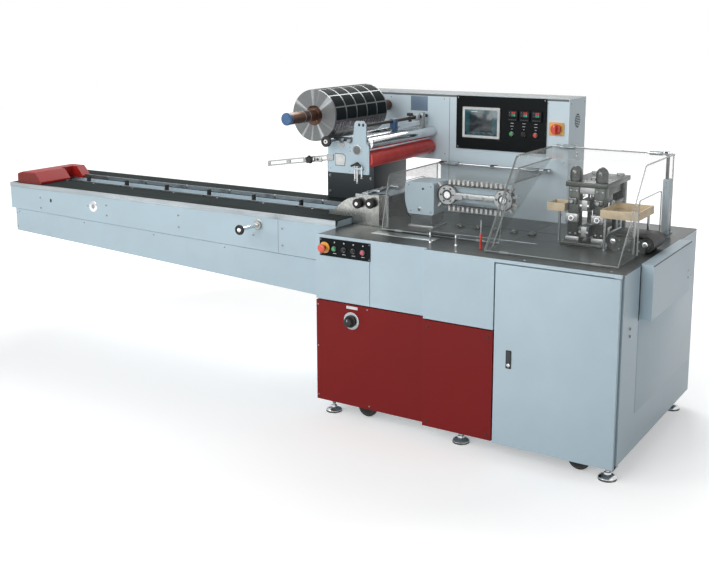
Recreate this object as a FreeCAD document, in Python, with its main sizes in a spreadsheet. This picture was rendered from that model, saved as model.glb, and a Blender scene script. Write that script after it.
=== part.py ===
import FreeCAD, Part
import math
import os
import re
import Sketcher

# Horizontal flow wrapper, millimetres, +Z up, +X towards the discharge end, -Y is the operator's side.
# Places are worked out from the cabinet's left front corner on the floor. ORIGIN_X and ORIGIN_Y move
# that corner so that the document's origin lies on the floor under the middle of the whole machine.

SIZES = {
    # cabinet
    "CabinetLength": 1430, "CabinetDepth": 1030, "CabinetBottom": 80, "DeckTop": 860, "DeckSheet": 6,
    "PanelSkin": 20, "LeftBay": 570, "MiddleBay": 330, "Proud": 31, "CoreFront": 2, "Seam": 3,
    "RedTop": 557, "WhiteSplit": 286, "LipHeight": 13, "LipDepth": 6, "LipRise": 3, "BaseWall": 20,
    "DoorGap": 5, "DoorSheet": 20, "DoorBottom": 71, "DoorPinInset": 12, "PinRadius": 4, "PinDepth": 25,
    "Running": 0.3, "Bite": 1, "HingePlate": 4, "HingeGap": 1, "HingeReach": 24, "LatchLeft": 961,
    "LatchWidth": 24,
    "LatchLow": 411, "LatchTall": 77, "LatchProud": 4,
    "HoodProud": 50, "HoodFront": 205, "HoodWidth": 550, "HoodLow": 633,
    # feet and castors
    "FootRadius": 38, "FootThick": 14, "FootDome": 8, "FootStem": 8, "FootNeck": 16, "FootInset": 40,
    "FootInsetRight": 49,
    "FootFront": 80, "FootFrontMiddle": 66, "FootFrontRight": 45,
    "FootRear": 945, "CastorInset": 200, "CastorLeft": 193, "CastorFront": 99, "CastorProudFront": 68,
    "CastorSwing": 79, "CastorRear": 915,
    "WheelRadius": 48, "WheelHalf": 14, "WheelLift": 3, "WheelTrail": 24, "BaseTop": 130,
    "CastorPlate": 90, "CastorPlateThick": 10, "KingPin": 6, "AxleRadius": 5,
    "ForkGap": 5, "ForkSheet": 3, "ForkDisc": 28, "ForkDiscLow": 104, "ForkDiscThick": 8,
    # infeed conveyor
    "InfeedLength": 2268, "InfeedFront": 165, "InfeedWidth": 580, "InfeedTop": 892, "InfeedSheet": 3,
    "TrimTall": 25, "TrimProud": 2, "InfeedSkin": 20, "SeamLeft": 740, "SeamRight": 689,
    "BellyLeft": 612, "BellyRight": 516, "LowerStart": 33, "SlotFront": 390, "SlotRear": 515,
    "SlotFloor": 765, "SlotStart": 50, "SlotEnd": 40, "RailThick": 6, "RailTall": 20, "LowRailTall": 6,
    "RailStart": 245, "RailEnd": 150, "ChainMid": 452, "ChainWidth": 40, "ChainRadius": 38,
    "ChainThick": 8, "ChainDrop": 9, "ChainLeft": 115, "ChainRight": 100, "LugLong": 12, "LugWide": 24,
    "LugTall": 32, "LugStart": 373, "LugPitch": 305, "LugCount": 6, "SprocketHalf": 16,
    "SprocketShaft": 10, "CoverLeft": 43, "CoverLength": 195, "CoverFront": 185, "CoverRear": 560,
    "CoverTall": 65, "CoverBevel": 45, "CoverEdge": 13, "NotchLength": 80, "NotchFront": 405,
    "NotchRear": 500, "InfeedWheelX": -455, "InfeedWheelZ": 828, "BossRadius": 22, "BossTall": 15,
    "InfeedShaft": 8, "InfeedShaftStart": 10, "HandwheelRadius": 25, "HandwheelThick": 16,
    # rear housing and its panel
    "HousingFront": 825, "HousingRear": 1038, "HousingTop": 1448, "HousingRight": 871,
    "HousingStep": 200, "OverhangLow": 1120, "ColumnLeft": -409, "ColumnWidth": 289,
    "ColumnFront": 703, "ColumnLow": 560, "PanelLeft": 288, "PanelWidth": 473, "PanelLow": 1185,
    "PanelTall": 260, "PanelThick": 8, "ScreenLeft": 325, "ScreenWidth": 200, "ScreenLow": 1242,
    "ScreenTall": 151, "ScreenThick": 8, "MeterLeft": 568, "MeterSide": 50, "MeterPitch": 61,
    "MeterLow": 1335, "MeterThick": 10, "ButtonLeft": 587, "ButtonPitch": 61, "ButtonHeight": 1272,
    "ButtonRadius": 12, "ButtonTall": 14, "YellowLeft": 775, "YellowWidth": 73, "YellowLow": 1276,
    "YellowTall": 61, "YellowThick": 6, "SwitchRadius": 24, "SwitchTall": 28, "SwitchStand": 6,
    "SwitchShaft": 6, "SwitchBore": 8,
    # lower button panel
    "LowerLeft": 23, "LowerWidth": 269, "LowerLow": 768, "LowerThick": 3, "StopX": 50,
    "StopRadius": 20, "StopTall": 14, "StopStem": 8, "StopStand": 21, "StopDeep": 5, "StopBore": 14,
    "LowerButtonX": 104, "LowerButtonPitch": 50, "LowerButtonZ": 806, "KnobX": 190, "KnobZ": 482,
    "KnobRadius": 29, "KnobTall": 32, "KnobStand": 6, "KnobDeep": 10,
    # film unwinder
    "ReelX": -113, "MachineTop": 1501, "ReelRadius": 120, "ReelFront": 158, "ReelWidth": 462,
    "SpindleRadius": 27.5, "SpindleFront": -40, "SpindleCap": 22, "CapProud": 1.5,
    "PlateFront": 196, "PlateThick": 8, "PlateLeft": -62, "PlateRight": 163, "PlateLow": 1118,
    "PlateDrop": 116, "TongueLeft": 86, "TongueRight": 147, "TongueTop": 1362, "BlockLeft": -36,
    "BlockRight": 78, "BlockLow": 1230, "BlockTop": 1280, "BlockThick": 36, "UnwindWheelX": -24,
    "UnwindWheelZ": 1268, "UnwindWheelFront": 118, "UnwindShaft": 6, "UnwindDeep": 16,
    "TieX": 18, "TiePitch": 44, "TieZ": 1270, "TieRadius": 7, "NutRadius": 11, "NutTall": 16,
    "GuideRodX": 116, "GuideRodZ": 1338, "GuideRodRadius": 8, "BarX": 118, "BarZ": 1301,
    "BarWide": 10, "BarTall": 22, "ChromeX": 148, "ChromeZ": 1259, "ChromeRadius": 27, "RedX": 138,
    "RedZ": 1185, "RedRadius": 38, "RollerAxle": 9, "RollerGap": 5.5,
    "ArmLeft": -410, "ArmRight": -30, "ArmLow": 1118, "ArmRise": 57, "ArmTall": 27, "ArmThick": 6,
    # deck units
    "FormerLeft": -136, "FormerRight": 195, "FormerFront": 300, "FormerRear": 610, "FormerTop": 1016,
    "FormerShoulder": 985, "FormerBevel": 76, "FormerWall": 30, "TunnelTop": 960, "FormerLip": 3,
    "GearLeft": 253, "GearRight": 405, "GearFront": 370, "GearRear": 530, "GearLow": 925,
    "GearTop": 1075, "GearFootInset": 38, "BeltFront": 390, "BeltWide": 30, "BeltZ": 1025,
    "BeltLeft": 462, "BeltRight": 740, "BeltRadius": 50, "BeltThick": 8, "BeltPlate": 12,
    "BeltPlateTall": 66, "BeltPlateGap": 4, "BeltWheelInset": 2, "HubReach": 5, "FingerCount": 12,
    "FingerTall": 22, "FingerLong": 8, "FingerWide": 26,
    "FingerBite": 1, "HubRadius": 14, "HandleLeft": 525, "HandleRight": 650, "HandleY": 118,
    "HandleTop": 902, "HandleRadius": 7, "HandleLeg": 5, "PostX": 766, "PostY": 120, "PostRadius": 7,
    "PostTop": 925, "PostRod": 3, "PostRodTop": 985,
    # sealing jaws
    "JawBaseLeft": 1015, "JawBaseRight": 1212, "JawBaseFront": 380, "JawBaseRear": 760, "JawBaseThick": 16,
    "ColumnALeft": 1031, "ColumnBLeft": 1146, "ColumnSide": 50, "ColumnFrontY": 425,
    "ColumnRearY": 665, "ColumnTop": 1110, "HeadThick": 22, "HeadMargin": 8, "CapRadius": 27,
    "CapTall": 40, "CapDome": 28, "JawX": 1113.5, "JawHalf": 25, "JawFront": 400, "JawRear": 735,
    "UpperJawDrop": 100, "UpperJawTall": 50, "LowerJawLow": 895, "LowerJawTall": 50, "JawRod": 11,
    "JawRodFront": 510, "JawRodRear": 630,
    # discharge side
    "TrayLow": 1000, "TrayTall": 35, "TrayLeftX": 944, "TrayLeftLong": 81, "TrayLeftFront": 403,
    "TrayLeftWide": 100, "TrayRightX": 1203, "TrayRightLong": 162, "TrayFront": 345, "TrayWide": 215,
    "TrayWall": 8, "StandRadius": 6, "StandInset": 18, "OutBeltLeft": 1254, "OutBeltRight": 1390,
    "OutBeltZ": 900, "OutBeltRadius": 34, "OutBeltThick": 6, "OutBeltFront": 380, "OutBeltWide": 150,
    "OutSide": 5, "OutGap": 1, "OutRollerReach": 2, "OutSideLow": 860, "OutSideTop": 922,
    # guards
    "GuardSheet": 6, "GuardFoot": 865, "LeftGuardLeft": 205, "LeftGuardRight": 797,
    "LeftGuardFoot": 237, "LeftGuardFront": 300, "LeftGuardTop": 1112, "LeftRodY": 790,
    "RightGuardLeft": 803, "RightGuardRight": 1378, "RightGuardFoot": 75, "RightGuardFront": 380,
    "RightGuardTop": 1232, "RightRodY": 800, "RodRadius": 6, "KnuckleRadius": 11, "KnuckleLong": 60,
    "KnuckleInset": 55, "SheetBack": 12, "BracketLong": 20, "BracketHalf": 5, "BracketInset": 10,
    "LeftDoorFront": 290, "LeftDoorRear": 640, "LeftDoorTop": 1060, "RightDoorFront": 320,
    "RightDoorRear": 620, "RightDoorTop": 1090, "StripWide": 60, "GuardPostX": 1322,
    "GuardPostWide": 30, "GuardPostFront": 820, "GuardPostDeep": 42, "GuardPostTop": 1110,
    "StrapInset": 8,
}

ORIGIN_X = "((CabinetLength + HoodProud - InfeedLength) / 2)"
ORIGIN_Y = "((SpindleFront - SpindleCap + HousingRear) / 2)"
DOOR_LEFT = "(LeftBay + MiddleBay + DoorGap)"
DOOR_RIGHT = "(CabinetLength - DoorGap)"
LIP_LOW = "(DeckTop + LipRise - LipHeight)"
DOOR_TOP = f"({LIP_LOW} - DoorGap)"
DOOR_PIN_X = f"({DOOR_RIGHT} - DoorPinInset)"
DOOR_PIN_Y = "(DoorSheet / 2 - Proud)"
INFEED_REAR = "(InfeedFront + InfeedWidth)"
REEL_Z = "(MachineTop - ReelRadius)"
PLATE_TOP = f"({REEL_Z} - PlateDrop)"
PLATE_BACK = "(PlateFront + PlateThick)"
BLOCK_BACK = f"({PLATE_BACK} + BlockThick)"
CHAIN_Z = "(InfeedTop - ChainDrop - ChainRadius)"
PANEL_FACE = "(HousingFront - PanelThick)"
UPPER_JAW_LOW = "(ColumnTop - UpperJawDrop)"

document = FreeCAD.newDocument("FlowWrapper")
sheet = document.addObject("Spreadsheet::Sheet", "Sizes")
for row, (alias, value) in enumerate(SIZES.items(), start=1):
    sheet.set(f"A{row}", alias)
    sheet.set(f"B{row}", str(value))
    sheet.setAlias(f"B{row}", alias)
document.recompute()

ALONG = {
    "X": FreeCAD.Rotation(FreeCAD.Vector(0, 1, 0), 90),
    "Y": FreeCAD.Rotation(FreeCAD.Vector(1, 0, 0), -90),
    "Z": FreeCAD.Rotation(),
}
PUBLISHED = []


def bind(thing, prop, formula):
    """Tie one property to a formula over the sheet's aliases."""
    thing.setExpression(prop, re.sub(r"\b([A-Z]\w+)", r"Sizes.\1", str(formula)))


def place(thing, x, y, z):
    """Set a thing's base point, given from the cabinet's left front corner on the floor."""
    bind(thing, "Placement.Base.x", f"{x} - {ORIGIN_X}")
    bind(thing, "Placement.Base.y", f"{y} - {ORIGIN_Y}")
    bind(thing, "Placement.Base.z", z)


def size_of(alias):
    """The number in one cell of the sheet, for counts."""
    return sheet.get(alias)


def box(name, x, y, z):
    """A block between the low and high formulas of each axis."""
    block = document.addObject("Part::Box", name)
    for prop, (low, high) in zip(("Length", "Width", "Height"), (x, y, z)):
        bind(block, prop, f"({high}) - ({low})")
    place(block, f"({x[0]})", f"({y[0]})", f"({z[0]})")
    return block


def base_point(axis, centre, start):
    """The x, y and z formulas of a point on an axis line."""
    across = {"X": (start, *centre), "Y": (centre[0], start, centre[1]), "Z": (*centre, start)}
    return [f"({part})" for part in across[axis]]


def rod(name, axis, centre, span, radius):
    """A round bar along one axis, its centre given by the other two axes in alphabetical order."""
    bar = document.addObject("Part::Cylinder", name)
    bar.Placement = FreeCAD.Placement(FreeCAD.Vector(), ALONG[axis])
    bind(bar, "Radius", radius)
    bind(bar, "Height", f"({span[1]}) - ({span[0]})")
    place(bar, *base_point(axis, centre, span[0]))
    return bar


def cone(name, axis, centre, span, radii):
    """A round taper along one axis, from the first radius to the second."""
    taper = document.addObject("Part::Cone", name)
    taper.Placement = FreeCAD.Placement(FreeCAD.Vector(), ALONG[axis])
    bind(taper, "Radius1", radii[0])
    bind(taper, "Radius2", radii[1])
    bind(taper, "Height", f"({span[1]}) - ({span[0]})")
    place(taper, *base_point(axis, centre, span[0]))
    return taper


def join(name, *shapes):
    """One solid fused from several."""
    fused = document.addObject("Part::MultiFuse", name)
    fused.Shapes = list(shapes)
    return fused


def cut(name, base, *tools):
    """A base with one or more tools taken out of it."""
    carved = document.addObject("Part::Cut", name)
    carved.Base = base
    carved.Tool = tools[0] if len(tools) == 1 else join(f"{name}_tools", *tools)
    return carved


def group(name, *shapes):
    """Several solids that don't touch, kept as one sub-part."""
    together = document.addObject("Part::Compound", name)
    together.Links = list(shapes)
    return together


def plate(name, plane, outline, span):
    """A flat part: a sketched outline in the XZ or YZ plane, padded across span."""
    body = document.addObject("PartDesign::Body", name)
    sketch = body.newObject("Sketcher::SketchObject", f"{name}_outline")
    origin_plane = [item for item in body.Origin.OriginFeatures if item.Role == f"{plane}_Plane"][0]
    sketch.AttachmentSupport = [(origin_plane, "")]
    sketch.MapMode = "FlatFace"
    count = len(outline)
    turn = 2 * math.pi / count
    corners = [FreeCAD.Vector(math.cos(i * turn), math.sin(i * turn), 0) for i in range(count)]
    for i in range(count):
        sketch.addGeometry(Part.LineSegment(corners[i], corners[(i + 1) % count]), False)
    for i in range(count):
        sketch.addConstraint(Sketcher.Constraint("Coincident", i, 2, (i + 1) % count, 1))
    for i, (across, up) in enumerate(outline):
        shift = ORIGIN_X if plane == "XZ" else ORIGIN_Y
        for kind, start, formula in (("DistanceX", corners[i].x, f"{across} - {shift}"),
                                     ("DistanceY", corners[i].y, up)):
            index = sketch.addConstraint(Sketcher.Constraint(kind, -1, 1, i, 1, start))
            bind(sketch, f"Constraints[{index}]", formula)
    pad = body.newObject("PartDesign::Pad", f"{name}_pad")
    pad.Profile = sketch
    bind(pad, "Length", f"({span[1]}) - ({span[0]})")
    if plane == "XZ":
        bind(body, "Placement.Base.y", f"({span[1]}) - {ORIGIN_Y}")
    else:
        bind(body, "Placement.Base.x", f"({span[0]}) - {ORIGIN_X}")
    return body


def track(name, x, z, radius, y):
    """A solid with the outline of a belt round two wheels, their centres at x[0] and x[1]."""
    return join(
        name,
        rod(f"{name}_left", "Y", (x[0], z), y, radius),
        rod(f"{name}_right", "Y", (x[1], z), y, radius),
        box(f"{name}_middle", x, y, (f"{z} - {radius}", f"{z} + {radius}")),
    )


def publish(thing, label):
    """Name a finished sub-part, which is also the name of its file."""
    thing.Label = label
    PUBLISHED.append(thing)
    return thing


def castor_places():
    """The names and the x and y formulas of the four castors' pins."""
    right = "(CabinetLength - CastorInset)"
    return [
        ("front_left", "CastorLeft", "CastorFront"), ("front_right", right, "CastorProudFront"),
        ("rear_left", "CastorLeft", "CastorRear"), ("rear_right", right, "CastorRear"),
    ]


def make_cabinet():
    """The closed housing with castor plates and pins, the fixed panels, the deck, the hood and the feet."""
    core = [
        box("core_main", ("0", "CabinetLength"), ("PanelSkin", "CabinetDepth"),
            ("BaseTop", "DeckTop - DeckSheet")),
        box("core_proud", ("LeftBay", "CabinetLength"), ("CoreFront", "PanelSkin + Bite"),
            ("BaseTop", "DeckTop - DeckSheet")),
    ]
    plates = []
    for name, x, y in castor_places():
        half = "CastorPlate / 2"
        plates.append(box(f"castor_sheet_{name}", (f"{x} - {half}", f"{x} + {half}"),
                          (f"{y} - {half}", f"{y} + {half}"),
                          ("BaseTop - CastorPlateThick", "BaseTop + Bite")))
        plates.append(rod(f"king_pin_{name}", "Z", (x, y), ("ForkDiscLow", "BaseTop"), "KingPin"))
    skirt = ("CabinetBottom", "BaseTop - Running")
    right_castor = "(CabinetLength - CastorInset)"
    far = "(CabinetLength - BaseWall)"
    front = ("PanelSkin", "PanelSkin + BaseWall")
    proud = ("CoreFront", "CoreFront + BaseWall")
    walls = [
        box("skirt_left", ("0", "BaseWall"), ("PanelSkin", "CabinetDepth"), skirt),
        box("skirt_right", (far, "CabinetLength"), ("CoreFront", "CabinetDepth"), skirt),
        box("skirt_rear", ("BaseWall + Running", f"{far} - Running"),
            ("CabinetDepth - BaseWall", "CabinetDepth"), skirt),
        box("skirt_front_left", ("CastorLeft + CastorSwing", "LeftBay - Running"), front, skirt),
        box("skirt_front_middle", ("LeftBay", f"{right_castor} - CastorSwing"), proud, skirt),
        box("skirt_front_right", (f"{right_castor} + CastorSwing", f"{far} - Running"), proud, skirt),
    ]
    publish(group("cabinet_body", join("cabinet_core", *core, *plates), *walls), "cabinet_housing")

    left = "LeftBay + Seam"
    right = "LeftBay + MiddleBay"
    white = ("RedTop + 2 * Seam", LIP_LOW)
    stop_bore = rod("stop_bore", "Y", ("StopX", "LowerButtonZ"), ("-Bite", "StopBore"),
                    "StopStem + Running")
    first_sheet = box("white_first_sheet", ("0", "WhiteSplit"), ("0", "PanelSkin"), white)
    first = cut("white_first", first_sheet, stop_bore)
    second = box("white_second", ("WhiteSplit + Seam", "LeftBay - Seam"), ("0", "PanelSkin"), white)
    third = box("white_third", (left, right), ("-Proud", "CoreFront"), white)
    publish(group("white_panels", first, second, third), "upper_front_panels")

    red = ("CabinetBottom", "RedTop")
    red_sheet = box("red_left_sheet", ("0", "LeftBay - Seam"), ("0", "PanelSkin"), red)
    knob_bore = rod("knob_bore", "Y", ("KnobX", "KnobZ"), ("-Bite", "KnobDeep + Bite"),
                    "InfeedShaft + Running")
    publish(cut("red_left", red_sheet, knob_bore), "red_panel_left")
    publish(box("red_middle", (left, right), ("-Proud", "CoreFront"), red), "red_panel_middle")

    deck = ("DeckTop - DeckSheet", "DeckTop")
    publish(join("deck",
                 box("deck_main", ("0", "CabinetLength"), ("LipDepth", "CabinetDepth"), deck),
                 box("deck_proud", ("LeftBay + LipDepth", "CabinetLength"),
                     ("LipDepth - Proud", "LipDepth + Bite"), deck)),
            "deck_plate")
    lip = (LIP_LOW, "DeckTop + LipRise")
    publish(join("lip",
                 box("lip_left", ("0", "LeftBay"), ("0", "LipDepth"), lip),
                 box("lip_return", ("LeftBay - Bite", "LeftBay + LipDepth"), ("-Proud", "CoreFront"), lip),
                 box("lip_right", ("LeftBay", "CabinetLength"), ("-Proud", "LipDepth - Proud"), lip)),
            "deck_front_lip")

    publish(box("hood", ("CabinetLength", "CabinetLength + HoodProud"),
                ("HoodFront", "HoodFront + HoodWidth"), ("HoodLow", "DeckTop")),
            "discharge_hood")

    feet = []
    columns = (("left", "FootInset", "FootFront"), ("middle", "CabinetLength / 2", "FootFrontMiddle"),
               ("right", "CabinetLength - FootInsetRight", "FootFrontRight"))
    for column, x, front_y in columns:
        for row, y in (("front", front_y), ("rear", "FootRear")):
            name = f"foot_{row}_{column}"
            feet.append(join(
                name,
                rod(f"{name}_pad", "Z", (x, y), ("0", "FootThick"), "FootRadius"),
                cone(f"{name}_dome", "Z", (x, y), ("FootThick", "FootThick + FootDome"),
                     ("FootRadius", "FootNeck")),
                rod(f"{name}_stem", "Z", (x, y), ("FootThick", "BaseTop"), "FootStem"),
            ))
    publish(group("feet", *feet), "levelling_feet")


def make_door():
    """The door with its latch, and the brackets and pins that it turns on."""
    sheet_box = box("door_sheet", (DOOR_LEFT, DOOR_RIGHT), ("-Proud", "DoorSheet - Proud"),
                    ("DoorBottom", DOOR_TOP))
    latch = box("door_latch", ("LatchLeft", "LatchLeft + LatchWidth"),
                ("-Proud - LatchProud", "Bite - Proud"), ("LatchLow", "LatchLow + LatchTall"))
    pin = (DOOR_PIN_X, DOOR_PIN_Y)
    bore = "PinRadius + Running"
    top_bore = rod("door_top_bore", "Z", pin,
                   (f"{DOOR_TOP} - PinDepth - Running", f"{DOOR_TOP} + Bite"), bore)
    low_bore = rod("door_low_bore", "Z", pin,
                   ("DoorBottom - Bite", "DoorBottom + PinDepth + Running"), bore)
    publish(cut("door", join("door_with_latch", sheet_box, latch), top_bore, low_bore), "cabinet_door")

    reach = (f"{DOOR_PIN_X} - HingeReach / 2", f"{DOOR_PIN_X} + HingeReach / 2")
    top = join(
        "hinge_top",
        box("hinge_top_plate", reach, ("-Proud + LipDepth", "CoreFront"),
            (f"{LIP_LOW} - HingePlate", LIP_LOW)),
        rod("hinge_top_pin", "Z", pin,
            (f"{DOOR_TOP} - PinDepth", f"{LIP_LOW} - HingePlate + Bite"), "PinRadius"),
    )
    low_plate = ("DoorBottom - HingeGap - HingePlate", "DoorBottom - HingeGap")
    low = join(
        "hinge_low",
        box("hinge_low_plate", reach, ("-Proud + LipDepth", "PanelSkin + BaseWall"), low_plate),
        box("hinge_low_block", reach, ("PanelSkin / 2", "PanelSkin + BaseWall"),
            ("DoorBottom - HingeGap - Bite", "CabinetBottom")),
        rod("hinge_low_pin", "Z", pin,
            ("DoorBottom - HingeGap - Bite", "DoorBottom + PinDepth"), "PinRadius"),
    )
    publish(group("door_brackets", top, low), "door_hinges")


def make_castors():
    """Four swivel forks and the wheels that they hold."""
    wheel_z = "(WheelRadius + WheelLift)"
    for name, x, y in castor_places():
        disc = cut(
            f"fork_disc_{name}",
            rod(f"fork_disc_blank_{name}", "Z", (x, y),
                ("ForkDiscLow", "ForkDiscLow + ForkDiscThick"), "ForkDisc"),
            rod(f"fork_bore_{name}", "Z", (x, y),
                ("ForkDiscLow - Bite", "ForkDiscLow + ForkDiscThick + Bite"), "KingPin + Running"),
        )
        inner = "WheelHalf + ForkGap"
        outer = "WheelHalf + ForkGap + ForkSheet"
        long_way = (f"{x} - ForkDisc / 2", f"{x} + WheelTrail + AxleRadius * 2")
        tall = (f"{wheel_z} - AxleRadius * 2", "ForkDiscLow + ForkDiscThick / 2")
        cheeks = [
            box(f"cheek_front_{name}", long_way, (f"{y} - ({outer})", f"{y} - ({inner})"), tall),
            box(f"cheek_rear_{name}", long_way, (f"{y} + {inner}", f"{y} + {outer}"), tall),
        ]
        axle = rod(f"axle_{name}", "Y", (f"{x} + WheelTrail", wheel_z),
                   (f"{y} - ({outer})", f"{y} + {outer}"), "AxleRadius")
        publish(join(f"fork_{name}", disc, *cheeks, axle), f"castor_fork_{name}")
        hub = (f"{x} + WheelTrail", wheel_z)
        width = (f"{y} - WheelHalf", f"{y} + WheelHalf")
        tyre = rod(f"tyre_{name}", "Y", hub, width, "WheelRadius")
        wheel_bore = rod(f"wheel_bore_{name}", "Y", hub,
                         (f"{y} - WheelHalf - Bite", f"{y} + WheelHalf + Bite"), "AxleRadius + Running")
        publish(cut(f"wheel_{name}", tyre, wheel_bore), f"castor_wheel_{name}")


def make_infeed():
    """The infeed conveyor: body, side panels, deck, rails, chain, sprockets, tail cover and handwheel."""
    left = "-InfeedLength"
    low_left = "(LowerStart - InfeedLength)"
    front = "InfeedFront"
    inside = ("InfeedFront + InfeedSkin", f"{INFEED_REAR} - InfeedSkin")
    top = "InfeedTop - InfeedSheet"
    belly = plate("infeed_belly", "XZ",
                  [(low_left, "BellyLeft"), ("0", "BellyRight"), ("0", top), (low_left, top)], inside)
    end = box("infeed_end", (left, f"{low_left} + Bite"), inside, ("SeamLeft", top))
    slot = box("infeed_slot", (f"{left} + SlotStart", "-SlotEnd"), ("SlotFront", "SlotRear"),
               ("SlotFloor", "InfeedTop"))
    publish(cut("infeed_body", join("infeed_core", belly, end), slot), "infeed_housing")

    panel_top = "InfeedTop - TrimTall"
    upper = [(left, "SeamLeft + Seam"), ("0", "SeamRight + Seam"), ("0", panel_top), (left, panel_top)]
    lower = [(low_left, "BellyLeft"), ("0", "BellyRight"), ("0", "SeamRight"), (low_left, "SeamLeft")]
    wheel = ("InfeedWheelX", "InfeedWheelZ")
    shaft_hole = rod("shaft_hole", "Y", wheel,
                     ("InfeedFront - BossTall - Bite", "InfeedFront + InfeedSkin + Bite"),
                     "InfeedShaft + Running")
    boss = rod("boss_ring", "Y", wheel, ("InfeedFront - BossTall", "InfeedFront + Bite"), "BossRadius")
    upper_sheet = plate("upper_front_sheet", "XZ", upper, (front, "InfeedFront + InfeedSkin"))
    upper_front = cut("upper_front", join("upper_front_bossed", upper_sheet, boss), shaft_hole)
    upper_rear = plate("upper_rear", "XZ", upper, (f"{INFEED_REAR} - InfeedSkin", INFEED_REAR))
    lower_front = plate("lower_front", "XZ", lower, ("InfeedFront + TrimProud", "InfeedFront + InfeedSkin"))
    lower_rear = plate("lower_rear", "XZ", lower,
                       (f"{INFEED_REAR} - InfeedSkin", f"{INFEED_REAR} - TrimProud"))
    publish(group("infeed_sides", upper_front, upper_rear, lower_front, lower_rear), "infeed_side_panels")

    deck_top = "InfeedTop"
    deck_low = "InfeedTop - InfeedSheet"
    outer = "InfeedFront - TrimProud"
    front_deck = [(outer, deck_top), ("SlotFront", deck_top), ("SlotFront", deck_low),
                  ("InfeedFront - TrimProud + InfeedSheet", deck_low),
                  ("InfeedFront - TrimProud + InfeedSheet", panel_top), (outer, panel_top)]
    far = f"{INFEED_REAR} + TrimProud"
    rear_deck = [("SlotRear", deck_top), (far, deck_top), (far, panel_top),
                 (f"{far} - InfeedSheet", panel_top), (f"{far} - InfeedSheet", deck_low),
                 ("SlotRear", deck_low)]
    publish(group("infeed_decks",
                  plate("deck_strip_front", "YZ", front_deck, (left, "0")),
                  plate("deck_strip_rear", "YZ", rear_deck, (left, "0"))),
            "infeed_deck_plates")

    rail = (f"{left} + RailStart", "-RailEnd")
    publish(group("guide_bars",
                  box("rail_rear", rail, ("SlotRear", "SlotRear + RailThick"),
                      (deck_top, "InfeedTop + RailTall")),
                  box("rail_front", rail, ("SlotFront - RailThick", "SlotFront"),
                      (deck_top, "InfeedTop + LowRailTall"))),
            "infeed_guide_rails")

    centres = (f"{left} + ChainLeft", "-ChainRight")
    width = ("ChainMid - ChainWidth / 2", "ChainMid + ChainWidth / 2")
    hollow = ("ChainMid - ChainWidth / 2 - Bite", "ChainMid + ChainWidth / 2 + Bite")
    loop = cut("chain_loop", track("chain_outer", centres, CHAIN_Z, "ChainRadius", width),
               track("chain_inner", centres, CHAIN_Z, "(ChainRadius - ChainThick)", hollow))
    lugs = []
    for i in range(int(size_of("LugCount"))):
        start = f"{left} + LugStart + {i} * LugPitch"
        where = (start, f"{start} + LugLong")
        wide = ("ChainMid - LugWide / 2", "ChainMid + LugWide / 2")
        lugs.append(box(f"lug_top_{i}", where, wide,
                        (f"{CHAIN_Z} + ChainRadius - Bite", f"{CHAIN_Z} + ChainRadius + LugTall")))
        lugs.append(box(f"lug_low_{i}", where, wide,
                        (f"{CHAIN_Z} - ChainRadius - LugTall", f"{CHAIN_Z} - ChainRadius + Bite")))
    publish(join("chain", loop, *lugs), "infeed_chain")
    sprockets = []
    for side, x in zip(("left", "right"), centres):
        sprockets.append(join(
            f"sprocket_{side}",
            rod(f"sprocket_disc_{side}", "Y", (x, CHAIN_Z),
                ("ChainMid - SprocketHalf", "ChainMid + SprocketHalf"),
                "ChainRadius - ChainThick - Running"),
            rod(f"sprocket_shaft_{side}", "Y", (x, CHAIN_Z), ("SlotFront", "SlotRear"), "SprocketShaft"),
        ))
    publish(group("sprocket_pair", *sprockets), "infeed_sprockets")

    near = f"({left} + CoverLeft)"
    away = f"({left} + CoverLeft + CoverLength)"
    cover_top = "InfeedTop + CoverTall"
    profile = [(near, deck_top), (away, deck_top), (away, "InfeedTop + CoverEdge"),
               (f"{away} - CoverBevel", cover_top), (f"{near} + CoverBevel", cover_top),
               (near, f"{cover_top} - CoverEdge")]
    hood = plate("cover_hood", "XZ", profile, ("CoverFront", "CoverRear"))
    notch = box("cover_notch", (f"{away} - NotchLength", f"{away} + Bite"), ("NotchFront", "NotchRear"),
                ("InfeedTop - Bite", f"{cover_top} + Bite"))
    publish(cut("tail_cover", hood, notch), "infeed_tail_cover")

    start = "InfeedShaftStart"
    publish(join("infeed_wheel",
                 rod("infeed_wheel_rim", "Y", wheel, (start, f"{start} + HandwheelThick"), "HandwheelRadius"),
                 rod("infeed_wheel_hub", "Y", wheel, (start, f"{start} + HandwheelThick * 2"),
                     "HandwheelRadius / 2"),
                 rod("infeed_wheel_shaft", "Y", wheel, (start, "InfeedFront + InfeedSkin - Bite"),
                     "InfeedShaft")),
            "infeed_handwheel")


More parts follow.
